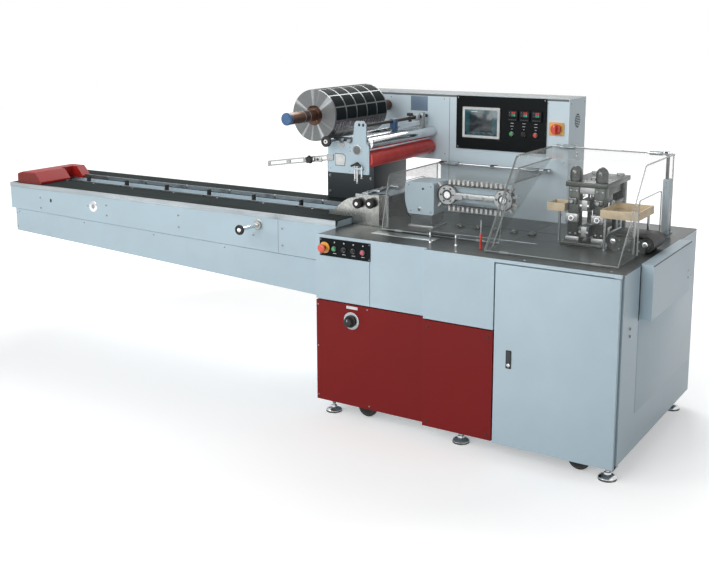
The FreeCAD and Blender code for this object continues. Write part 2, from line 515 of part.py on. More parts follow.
def make_rear_housing():
    """The tall rear housing, the column under its overhang, the control panel and the main switch."""
    wall = [("ColumnLeft", "OverhangLow"), ("HousingStep", "OverhangLow"), ("HousingStep", "DeckTop"),
            ("HousingRight", "DeckTop"), ("HousingRight", "HousingTop"), ("ColumnLeft", "HousingTop")]
    slab = plate("housing_slab", "XZ", wall, ("HousingFront", "HousingRear"))
    middle = ("YellowLeft + YellowWidth / 2", "YellowLow + YellowTall / 2")
    blind = rod("switch_bore_housing", "Y", middle,
                ("HousingFront - Bite", "HousingFront + SwitchBore + Bite"), "SwitchShaft + Running")
    publish(cut("housing", slab, blind), "rear_housing")
    across = ("ColumnLeft", "ColumnLeft + ColumnWidth")
    publish(join("column",
                 box("column_upper", across, ("ColumnFront", "HousingRear"), ("InfeedTop", "OverhangLow")),
                 box("column_lower", across, (f"{INFEED_REAR} + TrimProud", "HousingRear"),
                     ("ColumnLow", "InfeedTop + Bite"))),
            "support_column")

    publish(box("panel_sheet", ("PanelLeft", "PanelLeft + PanelWidth"), (PANEL_FACE, "HousingFront"),
                ("PanelLow", "PanelLow + PanelTall")), "control_panel")
    publish(box("screen", ("ScreenLeft", "ScreenLeft + ScreenWidth"),
                (f"{PANEL_FACE} - ScreenThick", PANEL_FACE), ("ScreenLow", "ScreenLow + ScreenTall")),
            "touchscreen")
    meters = []
    for i in range(3):
        start = f"MeterLeft + {i} * MeterPitch"
        meters.append(box(f"meter_{i}", (start, f"{start} + MeterSide"),
                          (f"{PANEL_FACE} - MeterThick", PANEL_FACE),
                          ("MeterLow", "MeterLow + MeterSide")))
    publish(group("meters", *meters), "temperature_controllers")

    yellow = box("yellow_sheet", ("YellowLeft", "YellowLeft + YellowWidth"),
                 ("HousingFront - YellowThick", "HousingFront"), ("YellowLow", "YellowLow + YellowTall"))
    yellow_bore = rod("switch_bore_plate", "Y", middle,
                      ("HousingFront - YellowThick - Bite", "HousingFront + Bite"),
                      "SwitchShaft + Running")
    publish(cut("yellow", yellow, yellow_bore), "main_switch_plate")
    face = "HousingFront - YellowThick - SwitchStand"
    publish(join("switch",
                 rod("switch_head", "Y", middle, (f"{face} - SwitchTall", face), "SwitchRadius"),
                 rod("switch_stem", "Y", middle, (f"{face} - Bite", "HousingFront + SwitchBore"),
                     "SwitchShaft")),
            "main_switch_knob")


def make_lower_panel():
    """The button panel on the cabinet's front, its buttons, the emergency stop and the hand knob."""
    middle = ("StopX", "LowerButtonZ")
    sheet_box = box("lower_sheet", ("LowerLeft", "LowerLeft + LowerWidth"), ("-LowerThick", "0"),
                    ("LowerLow", LIP_LOW))
    bore = rod("lower_bore", "Y", middle, ("-LowerThick - Bite", "Bite"), "StopStem + Running")
    publish(cut("lower_panel", sheet_box, bore), "lower_button_panel")
    buttons = [
        rod(f"lower_button_{i}", "Y", (f"LowerButtonX + {i} * LowerButtonPitch", "LowerButtonZ"),
            ("-LowerThick - ButtonTall", "-LowerThick"), "ButtonRadius")
        for i in range(4)
    ]
    buttons += [
        rod(f"panel_button_{i}", "Y", (f"ButtonLeft + {i} * ButtonPitch", "ButtonHeight"),
            (f"{PANEL_FACE} - ButtonTall", PANEL_FACE), "ButtonRadius")
        for i in range(3)
    ]
    publish(group("knobs", *buttons), "push_buttons")
    face = "-LowerThick - StopStand"
    publish(join("stop",
                 rod("stop_head", "Y", middle, (f"{face} - StopTall", face), "StopRadius"),
                 rod("stop_stem", "Y", middle, (f"{face} - Bite", "StopDeep"), "StopStem")),
            "emergency_stop")
    knob = ("KnobX", "KnobZ")
    publish(join("hand_knob",
                 rod("hand_knob_head", "Y", knob, ("-KnobStand - KnobTall", "-KnobStand"), "KnobRadius"),
                 rod("hand_knob_shaft", "Y", knob, ("-KnobStand - Bite", "KnobDeep"), "InfeedShaft")),
            "cabinet_hand_knob")


def make_unwinder():
    """The film reel on its spindle, the bracket plate, the rods, the rollers and the scale arm."""
    reel = ("ReelX", REEL_Z)
    publish(join("spindle",
                 rod("spindle_bar", "Y", reel, ("SpindleFront", "HousingFront"), "SpindleRadius"),
                 rod("spindle_cap", "Y", reel, ("SpindleFront - SpindleCap", "SpindleFront + Bite"),
                     "SpindleRadius + CapProud")),
            "reel_spindle")
    film = rod("film", "Y", reel, ("ReelFront", "ReelFront + ReelWidth"), "ReelRadius")
    core = rod("film_core", "Y", reel, ("ReelFront - Bite", "ReelFront + ReelWidth + Bite"),
               "SpindleRadius + Running")
    publish(cut("film_roll", film, core), "film_reel")

    outline = [("PlateLeft", "PlateLow"), ("PlateRight", "PlateLow"), ("TongueRight", "TongueTop"),
               ("TongueLeft", "TongueTop"), ("TongueLeft", PLATE_TOP), ("PlateLeft", PLATE_TOP)]
    wheel = ("UnwindWheelX", "UnwindWheelZ")
    bracket = plate("bracket_sheet", "XZ", outline, ("PlateFront", PLATE_BACK))
    ties = [(f"TieX + {i} * TiePitch", "TieZ") for i in range(2)]
    through = ("PlateFront - Bite", f"{PLATE_BACK} + Bite")
    passages = [rod("bracket_bore", "Y", wheel, through, "UnwindShaft + Running")]
    passages += [
        rod(f"tie_hole_{i}", "Y", tie, through, "NutRadius + Running")
        for i, tie in enumerate(ties)
    ]
    publish(cut("bracket", bracket, *passages), "unwinder_plate")
    block = box("block_blank", ("BlockLeft", "BlockRight"), (PLATE_BACK, BLOCK_BACK),
                ("BlockLow", "BlockTop"))
    block_bore = rod("block_bore", "Y", wheel,
                     (f"{PLATE_BACK} - Bite", f"{PLATE_BACK} + UnwindDeep + Bite"),
                     "UnwindShaft + Running")
    bored = cut("block_bored", block, block_bore)
    tie_rods = [rod(f"tie_{i}", "Y", tie, (f"{BLOCK_BACK} - Bite", "HousingFront"), "TieRadius")
                for i, tie in enumerate(ties)]
    nuts = [rod(f"nut_{i}", "Y", tie, ("PlateFront - NutTall", f"{PLATE_BACK} + Bite"), "NutRadius")
            for i, tie in enumerate(ties)]
    block_with_ties = join("block", bored, *tie_rods, *nuts)
    reach = (PLATE_BACK, "HousingFront")
    publish(group("cross_rods", block_with_ties,
                  rod("guide_rod", "Y", ("GuideRodX", "GuideRodZ"), reach, "GuideRodRadius"),
                  box("flat_bar", ("BarX - BarWide / 2", "BarX + BarWide / 2"), reach,
                      ("BarZ - BarTall / 2", "BarZ + BarTall / 2")),
                  rod("chrome_axle", "Y", ("ChromeX", "ChromeZ"), reach, "RollerAxle"),
                  rod("red_axle", "Y", ("RedX", "RedZ"), reach, "RollerAxle")),
            "unwinder_rods")
    length = (f"{PLATE_BACK} + RollerGap", "HousingFront - RollerGap")
    bored_length = (f"{PLATE_BACK} + RollerGap - Bite", "HousingFront - RollerGap + Bite")
    for name, x, z, radius in (("chrome", "ChromeX", "ChromeZ", "ChromeRadius"),
                               ("red", "RedX", "RedZ", "RedRadius")):
        drum = rod(f"{name}_drum", "Y", (x, z), length, radius)
        drum_bore = rod(f"{name}_drum_bore", "Y", (x, z), bored_length, "RollerAxle + Running")
        publish(cut(f"{name}_tube", drum, drum_bore), f"{name}_roller")
    start = "UnwindWheelFront"
    publish(join("unwind_wheel",
                 rod("unwind_wheel_rim", "Y", wheel, (start, f"{start} + HandwheelThick"), "HandwheelRadius"),
                 rod("unwind_wheel_shaft", "Y", wheel, (start, f"{PLATE_BACK} + UnwindDeep"), "UnwindShaft")),
            "unwinder_handwheel")
    arm = [("ArmLeft", "ArmLow"), ("ArmRight", "ArmLow + ArmRise"),
           ("ArmRight", "ArmLow + ArmRise + ArmTall"),
           ("ArmLeft", "ArmLow + ArmTall")]
    publish(plate("arm", "XZ", arm, ("PlateFront - ArmThick", "PlateFront")), "scale_arm")


def make_deck_units():
    """The forming box, the finger belt with its drive, the deck handle and the marker post."""
    former = [("FormerLeft", "InfeedTop"), ("FormerLip", "InfeedTop"), ("FormerLip", "DeckTop"),
              ("FormerRight", "DeckTop"), ("FormerRight", "FormerTop"),
              ("FormerLeft + FormerBevel", "FormerTop"),
              ("FormerLeft", "FormerShoulder")]
    shell = plate("former_shell", "XZ", former, ("FormerFront", "FormerRear"))
    tunnel = box("former_tunnel", ("FormerLeft - Bite", "FormerRight + Bite"),
                 ("FormerFront + FormerWall", "FormerRear - FormerWall"), ("DeckTop - Bite", "TunnelTop"))
    publish(cut("former", shell, tunnel), "forming_box")

    foot_x = ("GearLeft + GearFootInset", "GearRight - GearFootInset")
    foot_y = ("GearFront + GearFootInset", "GearRear - GearFootInset")
    belt_rear = "(BeltFront + BeltWide)"
    plate_y = (f"{belt_rear} + BeltPlateGap", f"{belt_rear} + BeltPlateGap + BeltPlate")
    wheel_y = ("BeltFront + BeltWheelInset", f"{belt_rear} - BeltWheelInset")
    hub_y = ("BeltFront + BeltWheelInset", f"{belt_rear} + HubReach")
    wheel_radius = "BeltRadius - BeltThick - Running"
    publish(join("gear",
                 box("gear_case", ("GearLeft", "GearRight"), ("GearFront", "GearRear"),
                     ("GearLow", "GearTop")),
                 box("gear_foot", foot_x, foot_y, ("DeckTop", "GearLow + Bite")),
                 box("belt_plate", ("GearRight - Bite", "BeltRight + HubRadius"), plate_y,
                     ("BeltZ - BeltPlateTall / 2", "BeltZ + BeltPlateTall / 2")),
                 rod("belt_wheel_left", "Y", ("BeltLeft", "BeltZ"), wheel_y, wheel_radius),
                 rod("belt_wheel_right", "Y", ("BeltRight", "BeltZ"), wheel_y, wheel_radius),
                 rod("belt_hub_left", "Y", ("BeltLeft", "BeltZ"), hub_y, "HubRadius"),
                 rod("belt_hub_right", "Y", ("BeltRight", "BeltZ"), hub_y, "HubRadius")),
            "finger_belt_drive")
    centres = ("BeltLeft", "BeltRight")
    width = ("BeltFront", belt_rear)
    hollow = ("BeltFront - Bite", f"{belt_rear} + Bite")
    loop = cut("belt_loop", track("belt_outer", centres, "BeltZ", "BeltRadius", width),
               track("belt_inner", centres, "BeltZ", "(BeltRadius - BeltThick)", hollow))
    fingers = []
    count = int(size_of("FingerCount"))
    wide = ("BeltFront + (BeltWide - FingerWide) / 2", "BeltFront + (BeltWide + FingerWide) / 2")
    for i in range(count):
        start = f"BeltLeft + (BeltRight - BeltLeft) * {i} / {count - 1} - FingerLong / 2"
        long_way = (start, f"{start} + FingerLong")
        fingers.append(box(f"finger_top_{i}", long_way, wide,
                           ("BeltZ + BeltRadius - FingerBite", "BeltZ + BeltRadius + FingerTall")))
        fingers.append(box(f"finger_low_{i}", long_way, wide,
                           ("BeltZ - BeltRadius - FingerTall", "BeltZ - BeltRadius + FingerBite")))
    publish(join("belt", loop, *fingers), "finger_belt")

    legs = [rod(f"handle_leg_{side}", "Z", (x, "HandleY"), ("DeckTop", "HandleTop"), "HandleLeg")
            for side, x in (("left", "HandleLeft"), ("right", "HandleRight"))]
    grip = rod("handle_grip", "X", ("HandleY", "HandleTop"),
               ("HandleLeft - HandleRadius", "HandleRight + HandleRadius"), "HandleRadius")
    publish(join("handle", grip, *legs), "deck_handle")
    publish(join("post",
                 rod("post_sleeve", "Z", ("PostX", "PostY"), ("DeckTop", "PostTop"), "PostRadius"),
                 rod("post_rod", "Z", ("PostX", "PostY"), ("PostTop - Bite", "PostRodTop"), "PostRod")),
            "marker_post")


def make_jaws():
    """The sealing unit: base, four columns, head with two caps, guide rods and the two jaws."""
    solids = [
        box("jaw_base", ("JawBaseLeft", "JawBaseRight"), ("JawBaseFront", "JawBaseRear"),
            ("DeckTop", "DeckTop + JawBaseThick")),
        box("jaw_head", ("ColumnALeft - HeadMargin", "ColumnBLeft + ColumnSide + HeadMargin"),
            ("ColumnFrontY - HeadMargin", "ColumnRearY + ColumnSide + HeadMargin"),
            ("ColumnTop - Bite", "ColumnTop + HeadThick")),
    ]
    for side, x in (("a", "ColumnALeft"), ("b", "ColumnBLeft")):
        for row, y in (("front", "ColumnFrontY"), ("rear", "ColumnRearY")):
            solids.append(box(f"jaw_column_{side}_{row}", (x, f"{x} + ColumnSide"), (y, f"{y} + ColumnSide"),
                              ("DeckTop + Bite", "ColumnTop")))
        middle = (f"{x} + ColumnSide / 2", "ColumnFrontY + ColumnSide / 2")
        shoulder = "ColumnTop + HeadThick + CapTall"
        solids.append(rod(f"cap_{side}", "Z", middle, ("ColumnTop", shoulder), "CapRadius"))
        solids.append(cone(f"cap_dome_{side}", "Z", middle, (shoulder, f"{shoulder} + CapDome"),
                           ("CapRadius", "CapRadius / 2")))
    for row, y in (("front", "JawRodFront"), ("rear", "JawRodRear")):
        solids.append(rod(f"jaw_rod_{row}", "Z", ("JawX", y), ("DeckTop + Bite", "ColumnTop"), "JawRod"))
    publish(join("jaw_unit", *solids), "jaw_frame")
    for name, low, tall in (("upper", UPPER_JAW_LOW, "UpperJawTall"),
                            ("lower", "LowerJawLow", "LowerJawTall")):
        blank = box(f"{name}_jaw_blank", ("JawX - JawHalf", "JawX + JawHalf"),
                    ("JawFront", "JawRear"), (low, f"{low} + {tall}"))
        bores = [rod(f"{name}_jaw_bore_{row}", "Z", ("JawX", y),
                     (f"{low} - Bite", f"{low} + {tall} + Bite"), "JawRod + Running")
                 for row, y in (("front", "JawRodFront"), ("rear", "JawRodRear"))]
        publish(cut(f"{name}_jaw_bar", blank, *bores), f"{name}_jaw")


def make_discharge():
    """The product trays on their stands and the short discharge belt."""
    trays = []
    for name, x, long_way, y, wide in (("left", "TrayLeftX", "TrayLeftLong", "TrayLeftFront", "TrayLeftWide"),
                                       ("right", "TrayRightX", "TrayRightLong", "TrayFront", "TrayWide")):
        blank = box(f"tray_{name}_blank", (x, f"{x} + {long_way}"), (y, f"{y} + {wide}"),
                    ("TrayLow", "TrayLow + TrayTall"))
        hollow = box(f"tray_{name}_hollow", (f"{x} + TrayWall", f"{x} + {long_way} - TrayWall"),
                     (f"{y} + TrayWall", f"{y} + {wide} - TrayWall"),
                     ("TrayLow + TrayWall", "TrayLow + TrayTall + Bite"))
        trays.append(cut(f"tray_{name}", blank, hollow))
    stands = []
    right_x = ("TrayRightX + StandInset", "TrayRightX + TrayRightLong - StandInset")
    right_y = ("TrayFront + StandInset - StandRadius", "TrayFront + TrayWide - StandInset + StandRadius")
    places = [("TrayLeftX + TrayLeftLong / 2", "TrayLeftFront + TrayLeftWide / 2")]
    places += [(x, y) for x in right_x for y in right_y]
    for i, middle in enumerate(places):
        stands.append(rod(f"stand_{i}", "Z", middle, ("DeckTop", "TrayLow + Bite"), "StandRadius"))
    publish(group("trays", join("tray_left_on_stand", trays[0], stands[0]),
                  join("tray_right_on_stands", trays[1], *stands[1:])),
            "product_trays")

    centres = ("OutBeltLeft", "OutBeltRight")
    belt_rear = "(OutBeltFront + OutBeltWide)"
    width = ("OutBeltFront", belt_rear)
    hollow = ("OutBeltFront - Bite", f"{belt_rear} + Bite")
    publish(cut("out_belt", track("out_outer", centres, "OutBeltZ", "OutBeltRadius", width),
                track("out_inner", centres, "OutBeltZ", "(OutBeltRadius - OutBeltThick)", hollow)),
            "discharge_belt")
    solids = []
    for side, span in (("front", ("OutBeltFront - OutGap - OutSide", "OutBeltFront - OutGap")),
                       ("rear", (f"{belt_rear} + OutGap", f"{belt_rear} + OutGap + OutSide"))):
        solids.append(box(f"out_side_{side}", ("OutBeltLeft", "OutBeltRight"), span,
                          ("OutSideLow", "OutSideTop")))
    for side, x in zip(("left", "right"), centres):
        solids.append(rod(f"out_roller_{side}", "Y", (x, "OutBeltZ"),
                          ("OutBeltFront - OutRollerReach", f"{belt_rear} + OutRollerReach"),
                          "OutBeltRadius - OutBeltThick - Running"))
    publish(join("out_frame", *solids), "discharge_frame")


def guard_sheets(name, x, foot, front, top, rod_y, doorway):
    """Bent clear sheet: sloping front, flat top and a right or left end with a doorway for the product."""
    sheet_rear = f"{rod_y} - SheetBack"
    outer = [(foot, "GuardFoot"), (front, top), (sheet_rear, top), (sheet_rear, f"{top} - GuardSheet"),
             (f"{front} + GuardSheet / 2", f"{top} - GuardSheet"), (f"{foot} + GuardSheet", "GuardFoot")]
    shell = plate(f"{name}_shell", "YZ", outer, x)
    side, span, door_front, door_rear, door_top = doorway
    end = plate(f"{name}_{side}_end", "YZ",
                [(foot, "GuardFoot"), (front, top), (sheet_rear, top), (sheet_rear, "GuardFoot")], span)
    door = box(f"{name}_{side}_doorway", (f"{span[0]} - Bite", f"{span[1]} + Bite"),
               (door_front, door_rear), ("GuardFoot - Bite", door_top))
    return shell, cut(f"{name}_{side}_sheet", end, door)


def guard_hinge(name, x, rod_y, rod_z):
    """Two knuckles near the ends of a guard, with their bores."""
    knuckles = []
    bores = []
    for side, start in (("left", f"{x[0]} + KnuckleInset"),
                        ("right", f"{x[1]} - KnuckleInset - KnuckleLong")):
        knuckles.append(rod(f"{name}_knuckle_{side}", "X", (rod_y, rod_z),
                            (start, f"{start} + KnuckleLong"), "KnuckleRadius"))
        knuckles.append(box(f"{name}_ear_{side}", (start, f"{start} + KnuckleLong"),
                            (f"{rod_y} - SheetBack - Bite", f"{rod_y} - KnuckleRadius / 2"),
                            (f"{rod_z} - GuardSheet / 2", f"{rod_z} + GuardSheet / 2")))
        bores.append(rod(f"{name}_knuckle_bore_{side}", "X", (rod_y, rod_z),
                         (f"{start} - Bite", f"{start} + KnuckleLong + Bite"), "RodRadius + Running"))
    return knuckles, bores


def make_guards():
    """The two hinged clear guards, the rods that they turn on and the post that carries the right rod."""
    left_x = ("LeftGuardLeft", "LeftGuardRight")
    left_z = "(LeftGuardTop - GuardSheet / 2)"
    shell, end = guard_sheets(
        "left_guard", left_x, "LeftGuardFoot", "LeftGuardFront", "LeftGuardTop", "LeftRodY",
        ("left", ("LeftGuardLeft", "LeftGuardLeft + GuardSheet"), "LeftDoorFront", "LeftDoorRear",
         "LeftDoorTop"))
    knuckles, bores = guard_hinge("left_guard", left_x, "LeftRodY", left_z)
    publish(cut("left_guard_bored", join("left_guard_sheets", shell, end, *knuckles), *bores), "left_guard")

    right_x = ("RightGuardLeft", "RightGuardRight")
    right_z = "(RightGuardTop - GuardSheet / 2)"
    shell, end = guard_sheets(
        "right_guard", right_x, "RightGuardFoot", "RightGuardFront", "RightGuardTop", "RightRodY",
        ("right", ("RightGuardRight - GuardSheet", "RightGuardRight"), "RightDoorFront", "RightDoorRear",
         "RightDoorTop"))
    strip = plate("right_guard_strip", "YZ",
                  [("RightGuardFoot", "GuardFoot"), ("RightGuardFront", "RightGuardTop"),
                   ("RightGuardFront + StripWide", "RightGuardTop"),
                   ("RightGuardFoot + StripWide", "GuardFoot")],
                  ("RightGuardLeft", "RightGuardLeft + GuardSheet"))
    knuckles, bores = guard_hinge("right_guard", right_x, "RightRodY", right_z)
    publish(cut("right_guard_bored", join("right_guard_sheets", shell, end, strip, *knuckles), *bores),
            "right_guard")

    left_rail = [rod("left_rail_rod", "X", ("LeftRodY", left_z), left_x, "RodRadius")]
    starts = ("LeftGuardLeft + BracketInset", "(LeftGuardLeft + LeftGuardRight - BracketLong) / 2",
              "LeftGuardRight - BracketInset - BracketLong")
    for i, start in enumerate(starts):
        left_rail.append(box(f"left_rail_bracket_{i}", (start, f"{start} + BracketLong"),
                             ("LeftRodY", "HousingFront"),
                             (f"{left_z} - BracketHalf", f"{left_z} + BracketHalf")))
    wall = ("RightGuardLeft + BracketInset", "RightGuardLeft + BracketInset + BracketLong")
    strap = ("GuardPostX + StrapInset", "GuardPostX + GuardPostWide - StrapInset")
    right_rail = [
        rod("right_rail_rod", "X", ("RightRodY", right_z), right_x, "RodRadius"),
        box("right_rail_bracket", wall, ("RightRodY", "HousingFront"),
            (f"{right_z} - BracketHalf", f"{right_z} + BracketHalf")),
        box("right_strap_top", strap, ("RightRodY", "GuardPostFront + StrapInset * 2"),
            (f"{right_z} - BracketHalf", f"{right_z} + BracketHalf")),
        box("right_strap", strap, ("GuardPostFront + StrapInset", "GuardPostFront + StrapInset * 2"),
            ("GuardPostTop", f"{right_z} + BracketHalf")),
    ]
    post = box("guard_post_bar", ("GuardPostX", "GuardPostX + GuardPostWide"),
               ("GuardPostFront", "GuardPostFront + GuardPostDeep"), ("DeckTop", "GuardPostTop + Bite"))
    publish(group("rails", join("left_rail", *left_rail), join("right_rail", *right_rail, post)),
            "guard_hinge_rails")


def export_parts():
    """Test every object of the document, then write each sub-part to its own file."""
    document.recompute()
    for item in document.Objects:
        if "Invalid" in item.State or "Error" in item.State:
            raise RuntimeError(f"{item.Label} has the state {item.State}")
    for item in PUBLISHED:
        if item.Shape.isNull() or not item.Shape.isValid() or not item.Shape.Solids:
            raise RuntimeError(f"{item.Label} has no valid shape")
    os.makedirs("parts", exist_ok=True)
    for item in PUBLISHED:
        item.Shape.exportStep(f"parts/{item.Label}.step")


make_cabinet()
make_door()
make_castors()
make_infeed()
make_rear_housing()
make_lower_panel()
make_unwinder()
make_deck_units()
make_jaws()
make_discharge()
make_guards()
export_parts()
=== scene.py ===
"""Looks of the horizontal flow wrapper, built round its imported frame.

The frame is the CAD model's, in metres: +X towards the discharge end, -Y towards the operator, +Z up. The
cabinet, the castors and the infeed read their places from the frame's nodes. The other sub-assemblies are
drawn in millimetres from the cabinet's left front corner on the floor. Each one is a class that builds its
meshes and dresses them.
"""

from __future__ import annotations

import logging
import math
from dataclasses import dataclass
from enum import Enum
from functools import cache
from typing import Sequence

import bmesh
import bpy
from mathutils import Matrix, Vector

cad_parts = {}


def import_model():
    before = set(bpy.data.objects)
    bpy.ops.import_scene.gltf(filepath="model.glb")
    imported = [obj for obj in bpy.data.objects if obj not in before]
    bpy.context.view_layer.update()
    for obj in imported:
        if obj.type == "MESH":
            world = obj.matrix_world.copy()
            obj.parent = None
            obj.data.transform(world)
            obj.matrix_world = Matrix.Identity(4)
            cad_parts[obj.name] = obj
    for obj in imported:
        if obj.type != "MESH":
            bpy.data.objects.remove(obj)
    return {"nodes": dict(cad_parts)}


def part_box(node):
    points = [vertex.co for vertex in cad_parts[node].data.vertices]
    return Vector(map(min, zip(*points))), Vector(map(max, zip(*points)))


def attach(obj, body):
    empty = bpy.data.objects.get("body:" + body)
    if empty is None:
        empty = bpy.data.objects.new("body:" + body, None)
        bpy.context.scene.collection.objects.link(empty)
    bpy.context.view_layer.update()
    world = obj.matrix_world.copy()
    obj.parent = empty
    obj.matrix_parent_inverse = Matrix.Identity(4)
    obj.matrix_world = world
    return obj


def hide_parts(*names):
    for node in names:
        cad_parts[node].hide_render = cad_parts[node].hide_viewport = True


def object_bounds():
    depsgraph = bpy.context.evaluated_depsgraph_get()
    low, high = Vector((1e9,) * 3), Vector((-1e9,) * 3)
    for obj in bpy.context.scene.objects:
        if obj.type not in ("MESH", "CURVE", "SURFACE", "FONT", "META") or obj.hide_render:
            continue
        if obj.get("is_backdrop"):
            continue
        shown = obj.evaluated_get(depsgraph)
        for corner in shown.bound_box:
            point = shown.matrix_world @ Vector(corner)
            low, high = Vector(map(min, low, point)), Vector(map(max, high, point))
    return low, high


Point = tuple[float, float, float]
Pair = tuple[float, float]
Colour = tuple[float, float, float]
Socket = bpy.types.NodeSocket
NodeTree = bpy.types.ShaderNodeTree

LOG = logging.getLogger("flow_wrapper")
MM = 0.001
FIXED = "root"


class Axis(Enum):
    """An axis of the frame, with the two others in cyclic order."""

    X = (0, 1, 2)
    Y = (1, 2, 0)
    Z = (2, 0, 1)


# ---------------------------------------------------------------- shader groups


def new_group(name: str, inputs: Sequence[tuple[str, str, object]],
              outputs: Sequence[tuple[str, str]]) -> NodeTree:
    """An empty shader node group with named sockets.

    Args:
        name: name of the group.
        inputs: name, socket type and default value of each input.
        outputs: name and socket type of each output.

    Returns:
        The new node tree, with its group input and output nodes named "in" and "out".
    """
    tree = bpy.data.node_groups.new(name, "ShaderNodeTree")
    for label, kind, default in inputs:
        socket = tree.interface.new_socket(label, in_out="INPUT", socket_type=kind)
        socket.default_value = default
    for label, kind in outputs:
        tree.interface.new_socket(label, in_out="OUTPUT", socket_type=kind)
    tree.nodes.new("NodeGroupInput").name = "in"
    tree.nodes.new("NodeGroupOutput").name = "out"
    return tree


class Wiring:
    """Short calls for adding and joining nodes in one tree."""

    def __init__(self, tree: NodeTree) -> None:
        """Works on the given tree."""
        self.tree = tree

    def add(self, kind: str, links: dict[str, object] | None = None, **settings: object) -> bpy.types.Node:
        """Adds a node.

        Args:
            kind: node type without the "ShaderNode" prefix.
            links: for each input, by name or index, the socket that feeds it or a plain value.
            settings: properties of the node.

        Returns:
            The new node.
        """
        node = self.tree.nodes.new("ShaderNode" + kind)
        for key, value in settings.items():
            setattr(node, key, value)
        for key, value in (links or {}).items():
            self.fill(node.inputs[key], value)
        return node

    def fill(self, socket: Socket, value: object) -> None:
        """Links a socket to the one that feeds it, or sets its plain value."""
        if isinstance(value, Socket):
            self.tree.links.new(value, socket)
        else:
            socket.default_value = value

    def maths(self, operation: str, *values: object) -> Socket:
        """The result of a Math node, its values sockets or numbers."""
        return self.add("Math", dict(enumerate(values)), operation=operation).outputs[0]

    def ramp(self, value: Socket, low: float, high: float, start: float = 0.0, end: float = 1.0) -> Socket:
        """A value mapped from low..high to start..end, clamped."""
        links = {"Value": value, "From Min": low, "From Max": high, "To Min": start, "To Max": end}
        return self.add("MapRange", links).outputs["Result"]

    def blend(self, factor: object, first: object, second: object) -> Socket:
        """Two colours mixed by a factor."""
        return self.add("Mix", {0: factor, 6: first, 7: second}, data_type="RGBA").outputs[2]

    def weigh(self, first: Socket, share: float, second: Socket) -> Socket:
        """The sum of two values, the first with its share and the second with the rest."""
        return self.maths("ADD", self.maths("MULTIPLY", first, share),
                          self.maths("MULTIPLY", second, 1 - share))

    def place(self, scale: Sequence[float] = (1.0, 1.0, 1.0)) -> Socket:
        """Object coordinates in metres, scaled along each axis."""
        coords = self.add("TexCoord").outputs["Object"]
        return self.add("Mapping", {"Vector": coords, "Scale": scale}).outputs["Vector"]


def rgba(colour: Colour) -> tuple[float, float, float, float]:
    """A colour with full alpha."""
    return (*colour, 1.0)


@cache
def orange_peel_group() -> NodeTree:
    """The ripple of powder coat and moulded plastic: Height, and a broad Tone that varies round 0.5."""
    tree = new_group("orange_peel", [("Ripples per metre", "NodeSocketFloat", 400.0),
                                     ("Clouds per metre", "NodeSocketFloat", 3.0)],
                     [("Height", "NodeSocketFloat"), ("Tone", "NodeSocketFloat")])
    wiring = Wiring(tree)
    given = tree.nodes["in"].outputs
    coords = wiring.place()
    ripple = wiring.add("TexNoise", {"Vector": coords, "Scale": given["Ripples per metre"], "Detail": 2.0})
    cloud = wiring.add("TexNoise", {"Vector": coords, "Scale": given["Clouds per metre"], "Detail": 4.0,
                                    "Roughness": 0.6})
    tree.links.new(ripple.outputs["Fac"], tree.nodes["out"].inputs["Height"])
    tree.links.new(wiring.ramp(cloud.outputs["Fac"], 0.3, 0.7), tree.nodes["out"].inputs["Tone"])
    return tree


@cache
def brushed_group() -> NodeTree:
    """Lines left by a grinding belt: Height and Tone of thin streaks, from stretched coordinates."""
    tree = new_group("brushed_lines", [("Vector", "NodeSocketVector", (0.0, 0.0, 0.0)),
                                       ("Lines per metre", "NodeSocketFloat", 900.0)],
                     [("Height", "NodeSocketFloat"), ("Tone", "NodeSocketFloat")])
    wiring = Wiring(tree)
    given = tree.nodes["in"].outputs
    fine = wiring.add("TexNoise", {"Vector": given["Vector"], "Scale": given["Lines per metre"],
                                   "Detail": 3.0})
    coarse_scale = wiring.maths("MULTIPLY", given["Lines per metre"], 0.12)
    coarse = wiring.add("TexNoise", {"Vector": given["Vector"], "Scale": coarse_scale, "Detail": 2.0})
    both = wiring.weigh(fine.outputs["Fac"], 0.6, coarse.outputs["Fac"])
    tree.links.new(fine.outputs["Fac"], tree.nodes["out"].inputs["Height"])
    tree.links.new(wiring.ramp(both, 0.35, 0.65), tree.nodes["out"].inputs["Tone"])
    return tree


@cache
def edge_wear_and_highlight_group() -> NodeTree:
    """A mask that is 1 on edges, broken up by noise: for paint wear on edges and for a painted highlight
    along them.
    """
    tree = new_group("edge_wear_and_painted_highlight", [("Width", "NodeSocketFloat", 0.002),
                                    ("Breaks per metre", "NodeSocketFloat", 40.0)],
                     [("Mask", "NodeSocketFloat")])
    wiring = Wiring(tree)
    given = tree.nodes["in"].outputs
    rounded = wiring.add("Bevel", {"Radius": given["Width"]}, samples=4).outputs["Normal"]
    plain = wiring.add("NewGeometry").outputs["Normal"]
    match = wiring.add("VectorMath", {0: rounded, 1: plain}, operation="DOT_PRODUCT").outputs["Value"]
    edge = wiring.ramp(match, 1.0, 0.93)
    breaks = wiring.add("TexNoise", {"Vector": wiring.place(), "Scale": given["Breaks per metre"],
                                     "Detail": 3.0})
    broken = wiring.maths("MULTIPLY", edge, wiring.ramp(breaks.outputs["Fac"], 0.35, 0.65, 0.3, 1.0))
    tree.links.new(broken, tree.nodes["out"].inputs["Mask"])
    return tree


# ---------------------------------------------------------------- finishes


